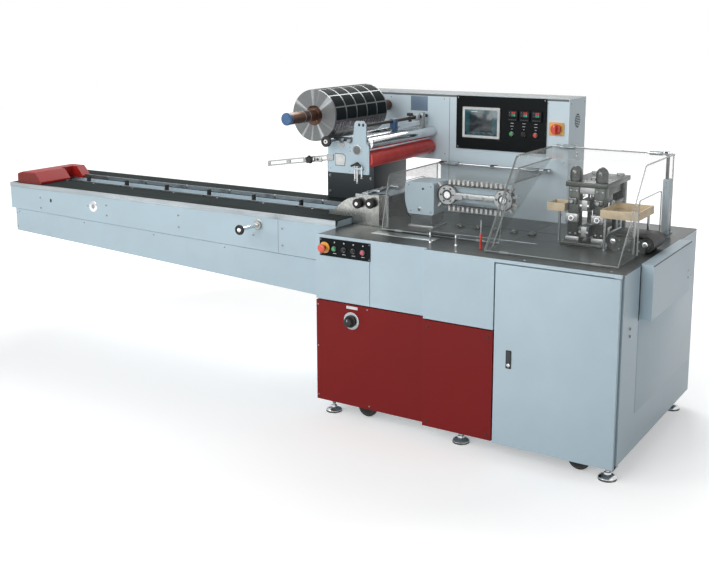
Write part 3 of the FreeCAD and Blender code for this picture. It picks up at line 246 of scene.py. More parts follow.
@dataclass(frozen=True)
class Finish:
    """What a surface is made of. Each kind of finish wires its own nodes."""

    name: str
    colour: Colour
    slot: str

    def material(self) -> bpy.types.Material:
        """The material of this finish, made at its first use."""
        made = bpy.data.materials.get(self.name)
        if made:
            return made
        made = bpy.data.materials.new(self.name)
        made.use_nodes = True
        made.diffuse_color = rgba(self.colour)
        shader = made.node_tree.nodes["Principled BSDF"]
        self.wire(Wiring(made.node_tree), shader)
        return made

    def shade(self, factor: float, lift: float = 0.0) -> tuple[float, float, float, float]:
        """The finish's colour times a factor and lifted, at most full."""
        return rgba(tuple(min(1.0, c * factor + lift) for c in self.colour))

    def wire(self, wiring: Wiring, shader: bpy.types.Node) -> None:
        """Feeds the shader. Each kind of finish has its own."""
        raise NotImplementedError

    @staticmethod
    def feed(wiring: Wiring, shader: bpy.types.Node, **values: object) -> None:
        """Sets or links the shader's sockets; underscores in the names stand for spaces."""
        for key, value in values.items():
            wiring.fill(shader.inputs[key.replace("_", " ")], value)

    @staticmethod
    def bump(wiring: Wiring, height: Socket, depth: float, strength: float = 0.4) -> Socket:
        """The normal of a surface raised by a height of 0 to 1."""
        links = {"Height": height, "Distance": depth, "Strength": strength}
        return wiring.add("Bump", links).outputs["Normal"]


@dataclass(frozen=True)
class PowderCoat(Finish):
    """Sprayed and baked paint on sheet metal, with a fine ripple, faint clouds and lighter edges: the edge
    colour stands for paint wear and for a painted highlight.
    """

    roughness: float = 0.38
    # Colour and share laid along edges: paint wear together with a painted highlight.
    edge: Colour = (0.85, 0.87, 0.88)
    edge_strength: float = 0.35
    cloud: float = 0.05
    ripple: float = 0.00006
    specular: float = 0.4

    def wire(self, wiring: Wiring, shader: bpy.types.Node) -> None:
        """Feeds the shader."""
        peel = wiring.add("Group", {"Ripples per metre": 450.0, "Clouds per metre": 2.5},
                          node_tree=orange_peel_group()).outputs
        wear_and_highlight_mask = wiring.add("Group", {"Width": 0.0022}, node_tree=edge_wear_and_highlight_group()).outputs["Mask"]
        dark = self.shade(1 - self.cloud)
        light = self.shade(1 + self.cloud)
        painted = wiring.blend(peel["Tone"], dark, light)
        # Edge colour mixed in along edges: paint wear and painted highlight.
        wear_and_highlight_share = wiring.maths("MULTIPLY", wear_and_highlight_mask, self.edge_strength)
        self.feed(wiring, shader, Base_Color=wiring.blend(wear_and_highlight_share, painted, rgba(self.edge)),
                  Roughness=wiring.ramp(peel["Tone"], 0.0, 1.0, self.roughness - 0.05, self.roughness + 0.06),
                  Normal=self.bump(wiring, peel["Height"], self.ripple),
                  Specular_IOR_Level=self.specular)


@dataclass(frozen=True)
class BrushedSteel(Finish):
    """Sheet or bar with the lines of a grinding belt along one axis."""

    roughness: float = 0.3
    lines: Axis = Axis.X
    contrast: float = 0.25
    metallic: float = 1.0
    specular: float = 0.5

    def wire(self, wiring: Wiring, shader: bpy.types.Node) -> None:
        """Feeds the shader."""
        stretch = [1.0, 1.0, 1.0]
        stretch[self.lines.value[0]] = 0.02
        streaks = wiring.add("Group", {"Vector": wiring.place(stretch), "Lines per metre": 700.0},
                             node_tree=brushed_group()).outputs
        peel = wiring.add("Group", {"Clouds per metre": 5.0}, node_tree=orange_peel_group()).outputs
        tone = wiring.weigh(streaks["Tone"], 0.6, peel["Tone"])
        dark = self.shade(1 - self.contrast)
        light = self.shade(1 + self.contrast)
        self.feed(wiring, shader, Base_Color=wiring.blend(tone, dark, light), Metallic=self.metallic,
                  Roughness=wiring.ramp(tone, 0.0, 1.0, self.roughness + 0.08, self.roughness - 0.06),
                  Normal=self.bump(wiring, streaks["Height"], 0.00005, 0.3),
                  Specular_IOR_Level=self.specular)


@dataclass(frozen=True)
class Polished(Finish):
    """Chrome plate and bright turned steel, with faint smears."""

    roughness: float = 0.1
    metallic: float = 1.0

    def wire(self, wiring: Wiring, shader: bpy.types.Node) -> None:
        """Feeds the shader."""
        peel = wiring.add("Group", {"Ripples per metre": 120.0, "Clouds per metre": 14.0},
                          node_tree=orange_peel_group()).outputs
        dark = self.shade(0.86)
        self.feed(wiring, shader, Base_Color=wiring.blend(peel["Tone"], dark, rgba(self.colour)),
                  Metallic=self.metallic,
                  Roughness=wiring.ramp(peel["Tone"], 0.0, 1.0, self.roughness + 0.07, self.roughness))


@dataclass(frozen=True)
class Moulded(Finish):
    """Moulded plastic or rubber with a fine grain, and lighter edges for wear and a painted highlight."""

    roughness: float = 0.45
    grain: float = 0.00012
    coat: float = 0.0

    def wire(self, wiring: Wiring, shader: bpy.types.Node) -> None:
        """Feeds the shader."""
        peel = wiring.add("Group", {"Ripples per metre": 900.0, "Clouds per metre": 20.0},
                          node_tree=orange_peel_group()).outputs
        wear_and_highlight_mask = wiring.add("Group", {"Width": 0.0012}, node_tree=edge_wear_and_highlight_group()).outputs["Mask"]
        dark = self.shade(0.8)
        light = self.shade(1.15, 0.004)
        body = wiring.blend(peel["Tone"], dark, light)
        # A lighter colour along edges: wear together with a painted highlight.
        rubbed_and_highlight_colour = self.shade(1.5, 0.05)
        self.feed(wiring, shader, Base_Color=wiring.blend(wiring.maths("MULTIPLY", wear_and_highlight_mask, 0.5), body, rubbed_and_highlight_colour),
                  Roughness=wiring.ramp(peel["Tone"], 0.0, 1.0, self.roughness - 0.06, self.roughness + 0.08),
                  Normal=self.bump(wiring, peel["Height"], self.grain),
                  Coat_Weight=self.coat, Coat_Roughness=0.08)


@dataclass(frozen=True)
class ClearSheet(Finish):
    """Clear bent sheet that turns less clear at a glancing angle, with faint scuffs; there its grey colour
    shows as a painted sheen along with its real reflection.
    """

    clearness: float = 0.9

    def wire(self, wiring: Wiring, shader: bpy.types.Node) -> None:
        """Feeds the shader."""
        peel = wiring.add("Group", {"Clouds per metre": 6.0}, node_tree=orange_peel_group()).outputs
        # Less clear at a glancing angle: the grey colour that shows there is painted sheen, the gloss is the
        # sheet's own reflection.
        facing = wiring.add("LayerWeight", {"Blend": 0.25}).outputs["Facing"]
        glancing = wiring.maths("POWER", facing, 2.0)
        seen = wiring.maths("ADD", wiring.maths("MULTIPLY", glancing, 0.45), 1 - self.clearness)
        scuffed = wiring.maths("ADD", seen, wiring.ramp(peel["Tone"], 0.0, 1.0, -0.02, 0.03))
        self.feed(wiring, shader, Base_Color=wiring.blend(peel["Tone"], self.shade(0.9), rgba(self.colour)),
                  Roughness=wiring.ramp(peel["Tone"], 0.0, 1.0, 0.04, 0.1), Alpha=scuffed)


@dataclass(frozen=True)
class Banded(Finish):
    """Printed film wound on a reel: blocks of tone along the reel that repeat round it."""

    dark: Colour = (0.01, 0.012, 0.013)
    bands: float = 70.0

    def wire(self, wiring: Wiring, shader: bpy.types.Node) -> None:
        """Feeds the shader."""
        place = wiring.place()
        split = wiring.add("SeparateXYZ", {"Vector": place}).outputs
        along = wiring.add("CombineXYZ", {"X": split["Y"]}).outputs["Vector"]
        bars = wiring.add("TexNoise", {"Vector": along, "Scale": self.bands, "Detail": 3.0}).outputs["Fac"]
        stripe = wiring.ramp(bars, 0.44, 0.56)
        peel = wiring.add("Group", {"Clouds per metre": 18.0}, node_tree=orange_peel_group()).outputs
        tone = wiring.weigh(stripe, 0.7, peel["Tone"])
        self.feed(wiring, shader, Base_Color=wiring.blend(tone, rgba(self.dark), rgba(self.colour)),
                  Metallic=0.35,
                  Roughness=wiring.ramp(tone, 0.0, 1.0, 0.22, 0.34),
                  Coat_Weight=0.4, Coat_Roughness=0.1)


@dataclass(frozen=True)
class WoundEnd(Finish):
    """The end of a film roll: fine rings round its centre and soft streaks out from it."""

    centre: Pair = (0.0, 0.0)

    def wire(self, wiring: Wiring, shader: bpy.types.Node) -> None:
        """Feeds the shader."""
        coords = wiring.add("TexCoord").outputs["Object"]
        offset = (-self.centre[0], 0.0, -self.centre[1])
        middle = wiring.add("Mapping", {"Vector": coords, "Location": offset}).outputs["Vector"]
        split = wiring.add("SeparateXYZ", {"Vector": middle}).outputs
        turn = wiring.maths("ARCTAN2", split["Z"], split["X"])
        flat = wiring.add("CombineXYZ", {"X": split["X"], "Z": split["Z"]}).outputs["Vector"]
        out = wiring.add("VectorMath", {0: flat}, operation="LENGTH").outputs["Value"]
        rings = wiring.add("TexNoise", {"Vector": wiring.add("CombineXYZ", {"X": out}).outputs["Vector"],
                                        "Scale": 700.0, "Detail": 2.0})
        rays = wiring.add("TexNoise", {"Vector": wiring.add("CombineXYZ", {"X": turn}).outputs["Vector"],
                                       "Scale": 2.2, "Detail": 2.0})
        ray = wiring.ramp(rays.outputs["Fac"], 0.52, 0.66)
        tone = wiring.weigh(rings.outputs["Fac"], 0.35, ray)
        self.feed(wiring, shader, Base_Color=wiring.blend(tone, self.shade(0.45), rgba((0.62, 0.66, 0.68))),
                  Metallic=0.3, Roughness=wiring.ramp(tone, 0.0, 1.0, 0.3, 0.2),
                  Normal=self.bump(wiring, rings.outputs["Fac"], 0.0002, 0.4))


@dataclass(frozen=True)
class Glow(Finish):
    """A lit display: a dim colour that gives off a little light of its own."""

    strength: float = 0.6

    def wire(self, wiring: Wiring, shader: bpy.types.Node) -> None:
        """Feeds the shader."""
        fine = wiring.add("TexNoise", {"Vector": wiring.place(), "Scale": 60.0, "Detail": 1.0}).outputs["Fac"]
        glow = wiring.blend(wiring.ramp(fine, 0.4, 0.6), self.shade(0.7), rgba(self.colour))
        self.feed(wiring, shader, Base_Color=glow, Roughness=0.15, Emission_Color=glow,
                  Emission_Strength=self.strength)


WHITE = PowderCoat("white_powder_coat", (0.44, 0.56, 0.63), "white_coat")
# The same white powder coat lightened for the rear housing: painted light.
WHITE_PAINTED_LIGHT = PowderCoat("white_coat_painted_light", (0.66, 0.79, 0.86), "white_coat")
RED = PowderCoat("red_powder_coat", (0.190, 0.012, 0.012), "red_coat", roughness=0.45,
                 edge=(0.35, 0.08, 0.07), edge_strength=0.3, specular=0.15)
COVER_RED = PowderCoat("cover_red_paint", (0.36, 0.018, 0.015), "bright_red", roughness=0.4,
                       edge=(0.6, 0.2, 0.18), specular=0.2)
# A paler, duller copy of the cover's red for its front face: painted light on that face.
COVER_FRONT_PAINTED_LIGHT = PowderCoat("cover_red_front_painted_light", (0.21, 0.045, 0.04), "bright_red", roughness=0.5, specular=0.1)
GREY = PowderCoat("column_grey_coat", (0.042, 0.052, 0.058), "grey_coat", roughness=0.42,
                  edge=(0.2, 0.22, 0.24), specular=0.3)
EDGE_GREY = PowderCoat("edge_grey_coat", (0.13, 0.15, 0.155), "grey_coat", roughness=0.45,
                       edge=(0.3, 0.32, 0.34))
PANEL_BLACK = PowderCoat("panel_black_coat", (0.006, 0.008, 0.009), "panel_black", roughness=0.4,
                         edge=(0.08, 0.09, 0.09), specular=0.08)
PLATE_BLUE = PowderCoat("plain_plate_blue", (0.17, 0.24, 0.33), "panel_black", roughness=0.35)
# Flat near-black laid in gaps, slots, holes and recesses: painted shade; it also colours the printed and
# engraved marks.
SEAM = Moulded("seam_shadow", (0.012, 0.014, 0.016), "black_plastic", roughness=0.8)
DECK = BrushedSteel("deck_dark_stainless", (0.062, 0.070, 0.068), "dark_stainless", roughness=0.36,
                    contrast=0.4, metallic=0.6, specular=0.2)
# A darker, non-metal copy of the dark stainless for the infeed deck: painted shade in place of its
# reflection.
INFEED_DECK_PAINTED_SHADE = BrushedSteel("infeed_deck_stainless_painted_shade", (0.026, 0.034, 0.034), "dark_stainless", roughness=0.62,
                           contrast=0.3, metallic=0.0, specular=0.02)
# A bright copy of the dark stainless, laid as a band on the deck: painted highlight.
DECK_PAINTED_HIGHLIGHT = BrushedSteel("deck_painted_highlight_band", (0.50, 0.53, 0.53), "dark_stainless", roughness=0.28)
TRIM = BrushedSteel("trim_stainless", (0.36, 0.40, 0.42), "stainless", roughness=0.3, contrast=0.25)
STEEL = BrushedSteel("formed_stainless", (0.36, 0.37, 0.35), "stainless", roughness=0.28, lines=Axis.Y,
                     contrast=0.4)
MACHINED = BrushedSteel("machined_steel", (0.26, 0.27, 0.27), "machined_steel", roughness=0.33, lines=Axis.Z,
                        contrast=0.3)
GUNMETAL = BrushedSteel("gunmetal_castings", (0.06, 0.065, 0.06), "machined_steel", roughness=0.36,
                        lines=Axis.Z, contrast=0.35)
CAP_DARK = Polished("cap_dark_polish", (0.10, 0.105, 0.10), "machined_steel", roughness=0.16)
CHROME = Polished("chrome_plate", (0.72, 0.73, 0.74), "chrome")
SCREW = Polished("zinc_screws", (0.30, 0.31, 0.32), "machined_steel", roughness=0.25)
BROWN_SHAFT = BrushedSteel("shaft_brown_steel", (0.13, 0.075, 0.055), "machined_steel", roughness=0.34,
                           lines=Axis.Y)
BLACK = Moulded("black_plastic", (0.012, 0.012, 0.013), "black_plastic", roughness=0.36)
RUBBER = Moulded("black_rubber", (0.014, 0.014, 0.014), "rubber", roughness=0.55)
RED_RUBBER = Moulded("roller_red_rubber", (0.66, 0.05, 0.045), "red_rubber", roughness=0.42)
CLEAR = ClearSheet("clear_guard_sheet", (0.50, 0.55, 0.54), "clear_sheet", clearness=0.955)
CLEAR_EDGE = ClearSheet("clear_sheet_edges", (0.46, 0.50, 0.50), "clear_sheet", clearness=0.38)
BEIGE = Moulded("tray_beige_board", (0.72, 0.58, 0.38), "beige_board", roughness=0.5)
YELLOW = Moulded("switch_plate_yellow", (0.86, 0.40, 0.06), "yellow_plastic", roughness=0.35, coat=0.4)
RED_PLASTIC = Moulded("knob_red_plastic", (0.70, 0.05, 0.025), "signal_plastic", roughness=0.3, coat=0.4)
STOP_RED = Moulded("stop_orange_red", (0.72, 0.09, 0.04), "signal_plastic", roughness=0.33, coat=0.3)
GREEN_PLASTIC = Moulded("button_green", (0.03, 0.33, 0.09), "signal_plastic", roughness=0.3, coat=0.5)
PINK_PLASTIC = Moulded("button_pink_red", (0.55, 0.08, 0.14), "signal_plastic", roughness=0.3, coat=0.5)
PALE = Moulded("pale_legend", (0.62, 0.64, 0.64), "white_coat", roughness=0.5)
FINGER_WHITE = Moulded("finger_white_nylon", (0.66, 0.66, 0.63), "beige_board", roughness=0.4)
BLUE_PLASTIC = Moulded("clamp_blue_plastic", (0.04, 0.11, 0.24), "signal_plastic", roughness=0.35)
FILM_END = WoundEnd("film_wound_ends", (0.15, 0.155, 0.155), "film", centre=(0.281, 1.381))
FILM_BAND = Banded("film_thin_bands", (0.26, 0.29, 0.32), "film", dark=(0.03, 0.035, 0.04), bands=120.0)
FILM_BLOCK = PowderCoat("film_dark_print", (0.012, 0.018, 0.020), "film", roughness=0.6,
                        edge=(0.02, 0.025, 0.03), specular=0.04)
SCREEN = Glow("screen_dark_teal", (0.012, 0.05, 0.06), "panel_black", strength=0.7)
SCREEN_DARK = Glow("screen_page", (0.015, 0.025, 0.03), "panel_black", strength=0.5)
DIGITS_RED = Glow("display_red", (0.7, 0.04, 0.03), "signal_plastic", strength=1.2)
DIGITS_GREEN = Glow("display_green", (0.05, 0.5, 0.35), "signal_plastic", strength=0.9)


# ---------------------------------------------------------------- forms

UP = Vector((0.0, 0.0, 1.0))
RIGHT = Vector((1.0, 0.0, 0.0))
OUT = Vector((0.0, -1.0, 0.0))
SHARP_ANGLE = math.radians(34)
ROUND_SIDES = 36


@dataclass(frozen=True)
class Box:
    """The box of a node: its lowest and highest corners."""

    lo: Vector
    hi: Vector

    @property
    def mid(self) -> Vector:
        """The middle of the box."""
        return (self.lo + self.hi) / 2

    @property
    def size(self) -> Vector:
        """The sides of the box."""
        return self.hi - self.lo


def rounded_path(corners: Sequence[Pair], radius: float, steps: int = 5, closed: bool = False) -> list[Pair]:
    """A path with its inner corners rounded.

    Args:
        corners: the corners in order.
        radius: bend radius at each inner corner.
        steps: short runs in each bend.
        closed: whether the last corner joins the first.

    Returns:
        The points of the rounded path.
    """
    points: list[Pair] = []
    count = len(corners)
    for i, corner in enumerate(corners):
        here = Vector(corner)
        if not closed and i in (0, count - 1):
            points.append(corner)
            continue
        before = Vector(corners[i - 1]) - here
        after = Vector(corners[(i + 1) % count]) - here
        half = before.angle(after) / 2
        reach = min(radius / math.tan(half), before.length * 0.49, after.length * 0.49)
        first = here + before.normalized() * reach
        last = here + after.normalized() * reach
        for k in range(steps + 1):
            t = k / steps
            bend = first * (1 - t) ** 2 + here * (2 * t * (1 - t)) + last * t ** 2
            points.append((bend.x, bend.y))
    return points


def ribbon(path: Sequence[Pair], thickness: float) -> list[Pair]:
    """The outline of an even sheet whose right-hand face, going along the path, follows the path."""
    left: list[Pair] = []
    for i, here in enumerate(path):
        ahead = Vector(path[min(i + 1, len(path) - 1)]) - Vector(path[max(i - 1, 0)])
        ahead.normalize()
        left.append((here[0] - ahead.y * thickness, here[1] + ahead.x * thickness))
    return [*path, *reversed(left)]


def ellipse(centre: Pair, radii: Pair, sides: int = 24) -> list[Pair]:
    """The points of an ellipse."""
    turns = (math.tau * i / sides for i in range(sides))
    return [(centre[0] + radii[0] * math.cos(a), centre[1] + radii[1] * math.sin(a)) for a in turns]


def ring(centre: Pair, radius: float, count: int, start: float = 0.0) -> list[Pair]:
    """Points evenly spaced round a centre, the first one turned by the start."""
    turns = (math.tau * i / count + start for i in range(count))
    return [(centre[0] + radius * math.cos(a), centre[1] + radius * math.sin(a)) for a in turns]


def loop_place(run: float, ends: Pair, middle: float, radius: float) -> tuple[Pair, Pair]:
    """A point of a loop round two equal wheels, and the direction out of the loop there.

    Args:
        run: distance along the loop from the start of its top run.
        ends: the x of each wheel's centre.
        middle: the z of both centres.
        radius: the loop's radius round them.

    Returns:
        The (x, z) place and the (x, z) outward direction.
    """
    left, right = ends
    straight = right - left
    bend = math.pi * radius
    run %= 2 * (straight + bend)
    if run < straight:
        return (left + run, middle + radius), (0.0, 1.0)
    run -= straight
    if run < bend:
        out = (math.sin(run / radius), math.cos(run / radius))
        return (right + radius * out[0], middle + radius * out[1]), out
    run -= bend
    if run < straight:
        return (right - run, middle - radius), (0.0, -1.0)
    run -= straight
    out = (-math.sin(run / radius), -math.cos(run / radius))
    return (left + radius * out[0], middle + radius * out[1]), out


class Form:
    """One piece under construction, joined from solids that each have a finish."""

    def __init__(self, name: str) -> None:
        """An empty form with the name that its piece will have."""
        self.name = name
        self.mesh = bmesh.new()
        self.finishes: list[Finish] = []

    def absorb(self, solid: bmesh.types.BMesh, finish: Finish, bevel: float = 0.0, steps: int = 2) -> Form:
        """Adds a solid's mesh and frees it.

        Args:
            solid: the mesh to add.
            finish: its finish.
            bevel: width of the rounding of its sharp edges.
            steps: faces across that rounding.

        Returns:
            This form.
        """
        if bevel:
            sharp = [e for e in solid.edges if len(e.link_faces) == 2 and e.calc_face_angle() > SHARP_ANGLE]
            bmesh.ops.bevel(solid, geom=sharp, offset=bevel, segments=steps, profile=0.5, affect="EDGES",
                            clamp_overlap=True)
        bmesh.ops.recalc_face_normals(solid, faces=solid.faces)
        if finish not in self.finishes:
            self.finishes.append(finish)
        index = self.finishes.index(finish)
        solid.verts.index_update()
        corners = [self.mesh.verts.new(v.co) for v in solid.verts]
        for face in solid.faces:
            added = self.mesh.faces.new([corners[v.index] for v in face.verts])
            added.material_index = index
            added.smooth = True
        solid.free()
        return self

    def block(self, lo: Sequence[float], hi: Sequence[float], finish: Finish, bevel: float = 0.001) -> Form:
        """Adds a block with rounded edges between two corners."""
        low = Vector(map(min, lo, hi))
        size = Vector(map(max, lo, hi)) - low
        solid = bmesh.new()
        bmesh.ops.create_cube(solid, size=1.0)
        solid.transform(Matrix.Translation(low + size / 2) @ Matrix.Diagonal((*size, 1.0)))
        return self.absorb(solid, finish, min(bevel, min(size) * 0.45))

    def prism(self, outline: Sequence[Pair], axis: Axis, span: Pair, finish: Finish,
              bevel: float = 0.0008) -> Form:
        """Adds a flat outline drawn across an axis, made as thick as the span.

        Args:
            outline: corners as (y, z) for the X axis, (x, z) for Y and (x, y) for Z.
            axis: the axis across the outline.
            span: where the solid starts and ends along that axis.
            finish: its finish.
            bevel: width of the rounding of its sharp edges.

        Returns:
            This form.
        """
        def spot(along: float, pair: Pair) -> Vector:
            """A corner at one end."""
            return {Axis.X: Vector((along, *pair)), Axis.Y: Vector((pair[0], along, pair[1])),
                    Axis.Z: Vector((*pair, along))}[axis]

        solid = bmesh.new()
        ends = [[solid.verts.new(spot(along, pair)) for pair in outline] for along in span]
        solid.faces.new(ends[0])
        solid.faces.new(list(reversed(ends[1])))
        for i in range(len(outline)):
            k = (i + 1) % len(outline)
            solid.faces.new((ends[0][i], ends[1][i], ends[1][k], ends[0][k]))
        return self.absorb(solid, finish, bevel)

    def turned(self, start: Vector, way: Vector, profile: Sequence[Pair], finish: Finish,
               sides: int = ROUND_SIDES) -> Form:
        """Adds a solid turned on a lathe.

        Args:
            start: a point on its axis.
            way: direction of the axis.
            profile: (distance along the axis, radius), end to end; a closed ring repeats its first pair.
            finish: its finish.
            sides: faces round it.

        Returns:
            This form.
        """
        frame = way.to_track_quat("Z", "Y").to_matrix()
        turns = [math.tau * i / sides for i in range(sides)]
        solid = bmesh.new()
        ring_shaped = profile[0] == profile[-1]
        rows = []
        for along, radius in profile[:-1] if ring_shaped else profile:
            if radius == 0:
                rows.append([solid.verts.new(start + frame @ Vector((0, 0, along)))] * sides)
                continue
            spots = (Vector((radius * math.cos(a), radius * math.sin(a), along)) for a in turns)
            rows.append([solid.verts.new(start + frame @ spot) for spot in spots])
        if ring_shaped:
            rows.append(rows[0])
        for near, far in zip(rows, rows[1:]):
            for i in range(sides):
                k = (i + 1) % sides
                corners = list(dict.fromkeys((near[i], near[k], far[k], far[i])))
                if len(corners) > 2:
                    solid.faces.new(corners)
        if not ring_shaped:
            for row in (rows[0], rows[-1]):
                if row[0] is not row[1]:
                    solid.faces.new(row)
        return self.absorb(solid, finish)

    def rod(self, start: Vector, end: Vector, radius: float, finish: Finish, chamfer: float = 0.0006,
            sides: int = 24) -> Form:
        """Adds a round bar with chamfered ends."""
        length = (end - start).length
        profile = ((0, radius - chamfer), (chamfer, radius), (length - chamfer, radius),
                   (length, radius - chamfer))
        return self.turned(start, end - start, profile, finish, sides)

    def swept(self, path: Sequence[Vector], radius: float, finish: Finish, sides: int = 14) -> Form:
        """Adds a round tube that follows a path of points."""
        solid = bmesh.new()
        rows = []
        side = Vector()
        for i, here in enumerate(path):
            ahead = (path[min(i + 1, len(path) - 1)] - path[max(i - 1, 0)]).normalized()
            side = (side - ahead
                    * side.dot(ahead)).normalized() if side.length else ahead.orthogonal().normalized()
            other = ahead.cross(side)
            turns = (math.tau * k / sides for k in range(sides))
            rows.append([solid.verts.new(here + side * (radius * math.cos(a)) + other
                                         * (radius * math.sin(a))) for a in turns])
        for near, far in zip(rows, rows[1:]):
            for k in range(sides):
                n = (k + 1) % sides
                solid.faces.new((near[k], near[n], far[n], far[k]))
        solid.faces.new(rows[0])
        solid.faces.new(rows[-1])
        return self.absorb(solid, finish)

    def screw(self, seat: Vector, way: Vector, radius: float, finish: Finish, hexagon: bool = False) -> Form:
        """Adds a screw head standing on its seat: domed with a dark recess, or a hexagon on a washer."""
        if hexagon:
            self.turned(seat, way, ((0, radius * 1.35), (radius * 0.2, radius * 1.35)), finish, 20)
            self.turned(seat + way * radius * 0.2, way,
                        ((0, radius), (radius * 0.6, radius), (radius * 0.75, radius * 0.85)), finish, 6)
            return self
        self.turned(seat, way, ((0, radius), (radius * 0.25, radius * 0.95), (radius * 0.45, radius * 0.55)),
                    finish, 18)
        return self.turned(seat + way * radius * 0.42, way,
                           ((0, radius * 0.32), (radius * 0.06, radius * 0.3)), SEAM, 6)

    def seat(self, body: str, *replaced: str) -> bpy.types.Object:
        """Makes the piece, which rides on a body.

        Args:
            body: the CAD body that it moves with.
            replaced: the CAD nodes that it stands for.

        Returns:
            The new object.
        """
        data = bpy.data.meshes.new(self.name)
        self.mesh.to_mesh(data)
        self.mesh.free()
        data.set_sharp_from_angle(angle=SHARP_ANGLE)
        piece = bpy.data.objects.new(self.name, data)
        bpy.context.scene.collection.objects.link(piece)
        for finish in self.finishes:
            data.materials.append(finish.material())
        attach(piece, body)
        if replaced:
            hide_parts(*replaced)
        LOG.info("%s: %d faces on %s", self.name, len(data.polygons), body)
        return piece


class Frame:
    """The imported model: its nodes' boxes and their finishes."""

    def __init__(self) -> None:
        """Loads the frame."""
        self.nodes: dict[str, bpy.types.Object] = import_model()["nodes"]
        self.start_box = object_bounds()

    @staticmethod
    def box(node: str) -> Box:
        """The box of a node."""
        return Box(*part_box(node))

    def dress_node(self, finish: Finish, *names: str) -> None:
        """Gives CAD nodes a finish."""
        for name in names:
            data = self.nodes[name].data
            data.materials.clear()
            data.materials.append(finish.material())
            data.shade_smooth()
            data.set_sharp_from_angle(angle=SHARP_ANGLE)
            LOG.info("%s: CAD solid in %s", name, finish.name)


@dataclass
class SubAssembly:
    """A part of the machine that is built and dressed by itself."""

    frame: Frame

    def build(self) -> None:
        """Makes the meshes that carry the shape."""
        raise NotImplementedError

    def dress(self) -> None:
        """Adds fasteners, seams and small fittings."""


def rounded_rectangle(lo: Pair, hi: Pair, radius: float, steps: int = 5) -> list[Pair]:
    """The outline of a rectangle with round corners."""
    return rounded_path([lo, (hi[0], lo[1]), hi, (lo[0], hi[1])], radius, steps, closed=True)


# ---------------------------------------------------------------- cabinet


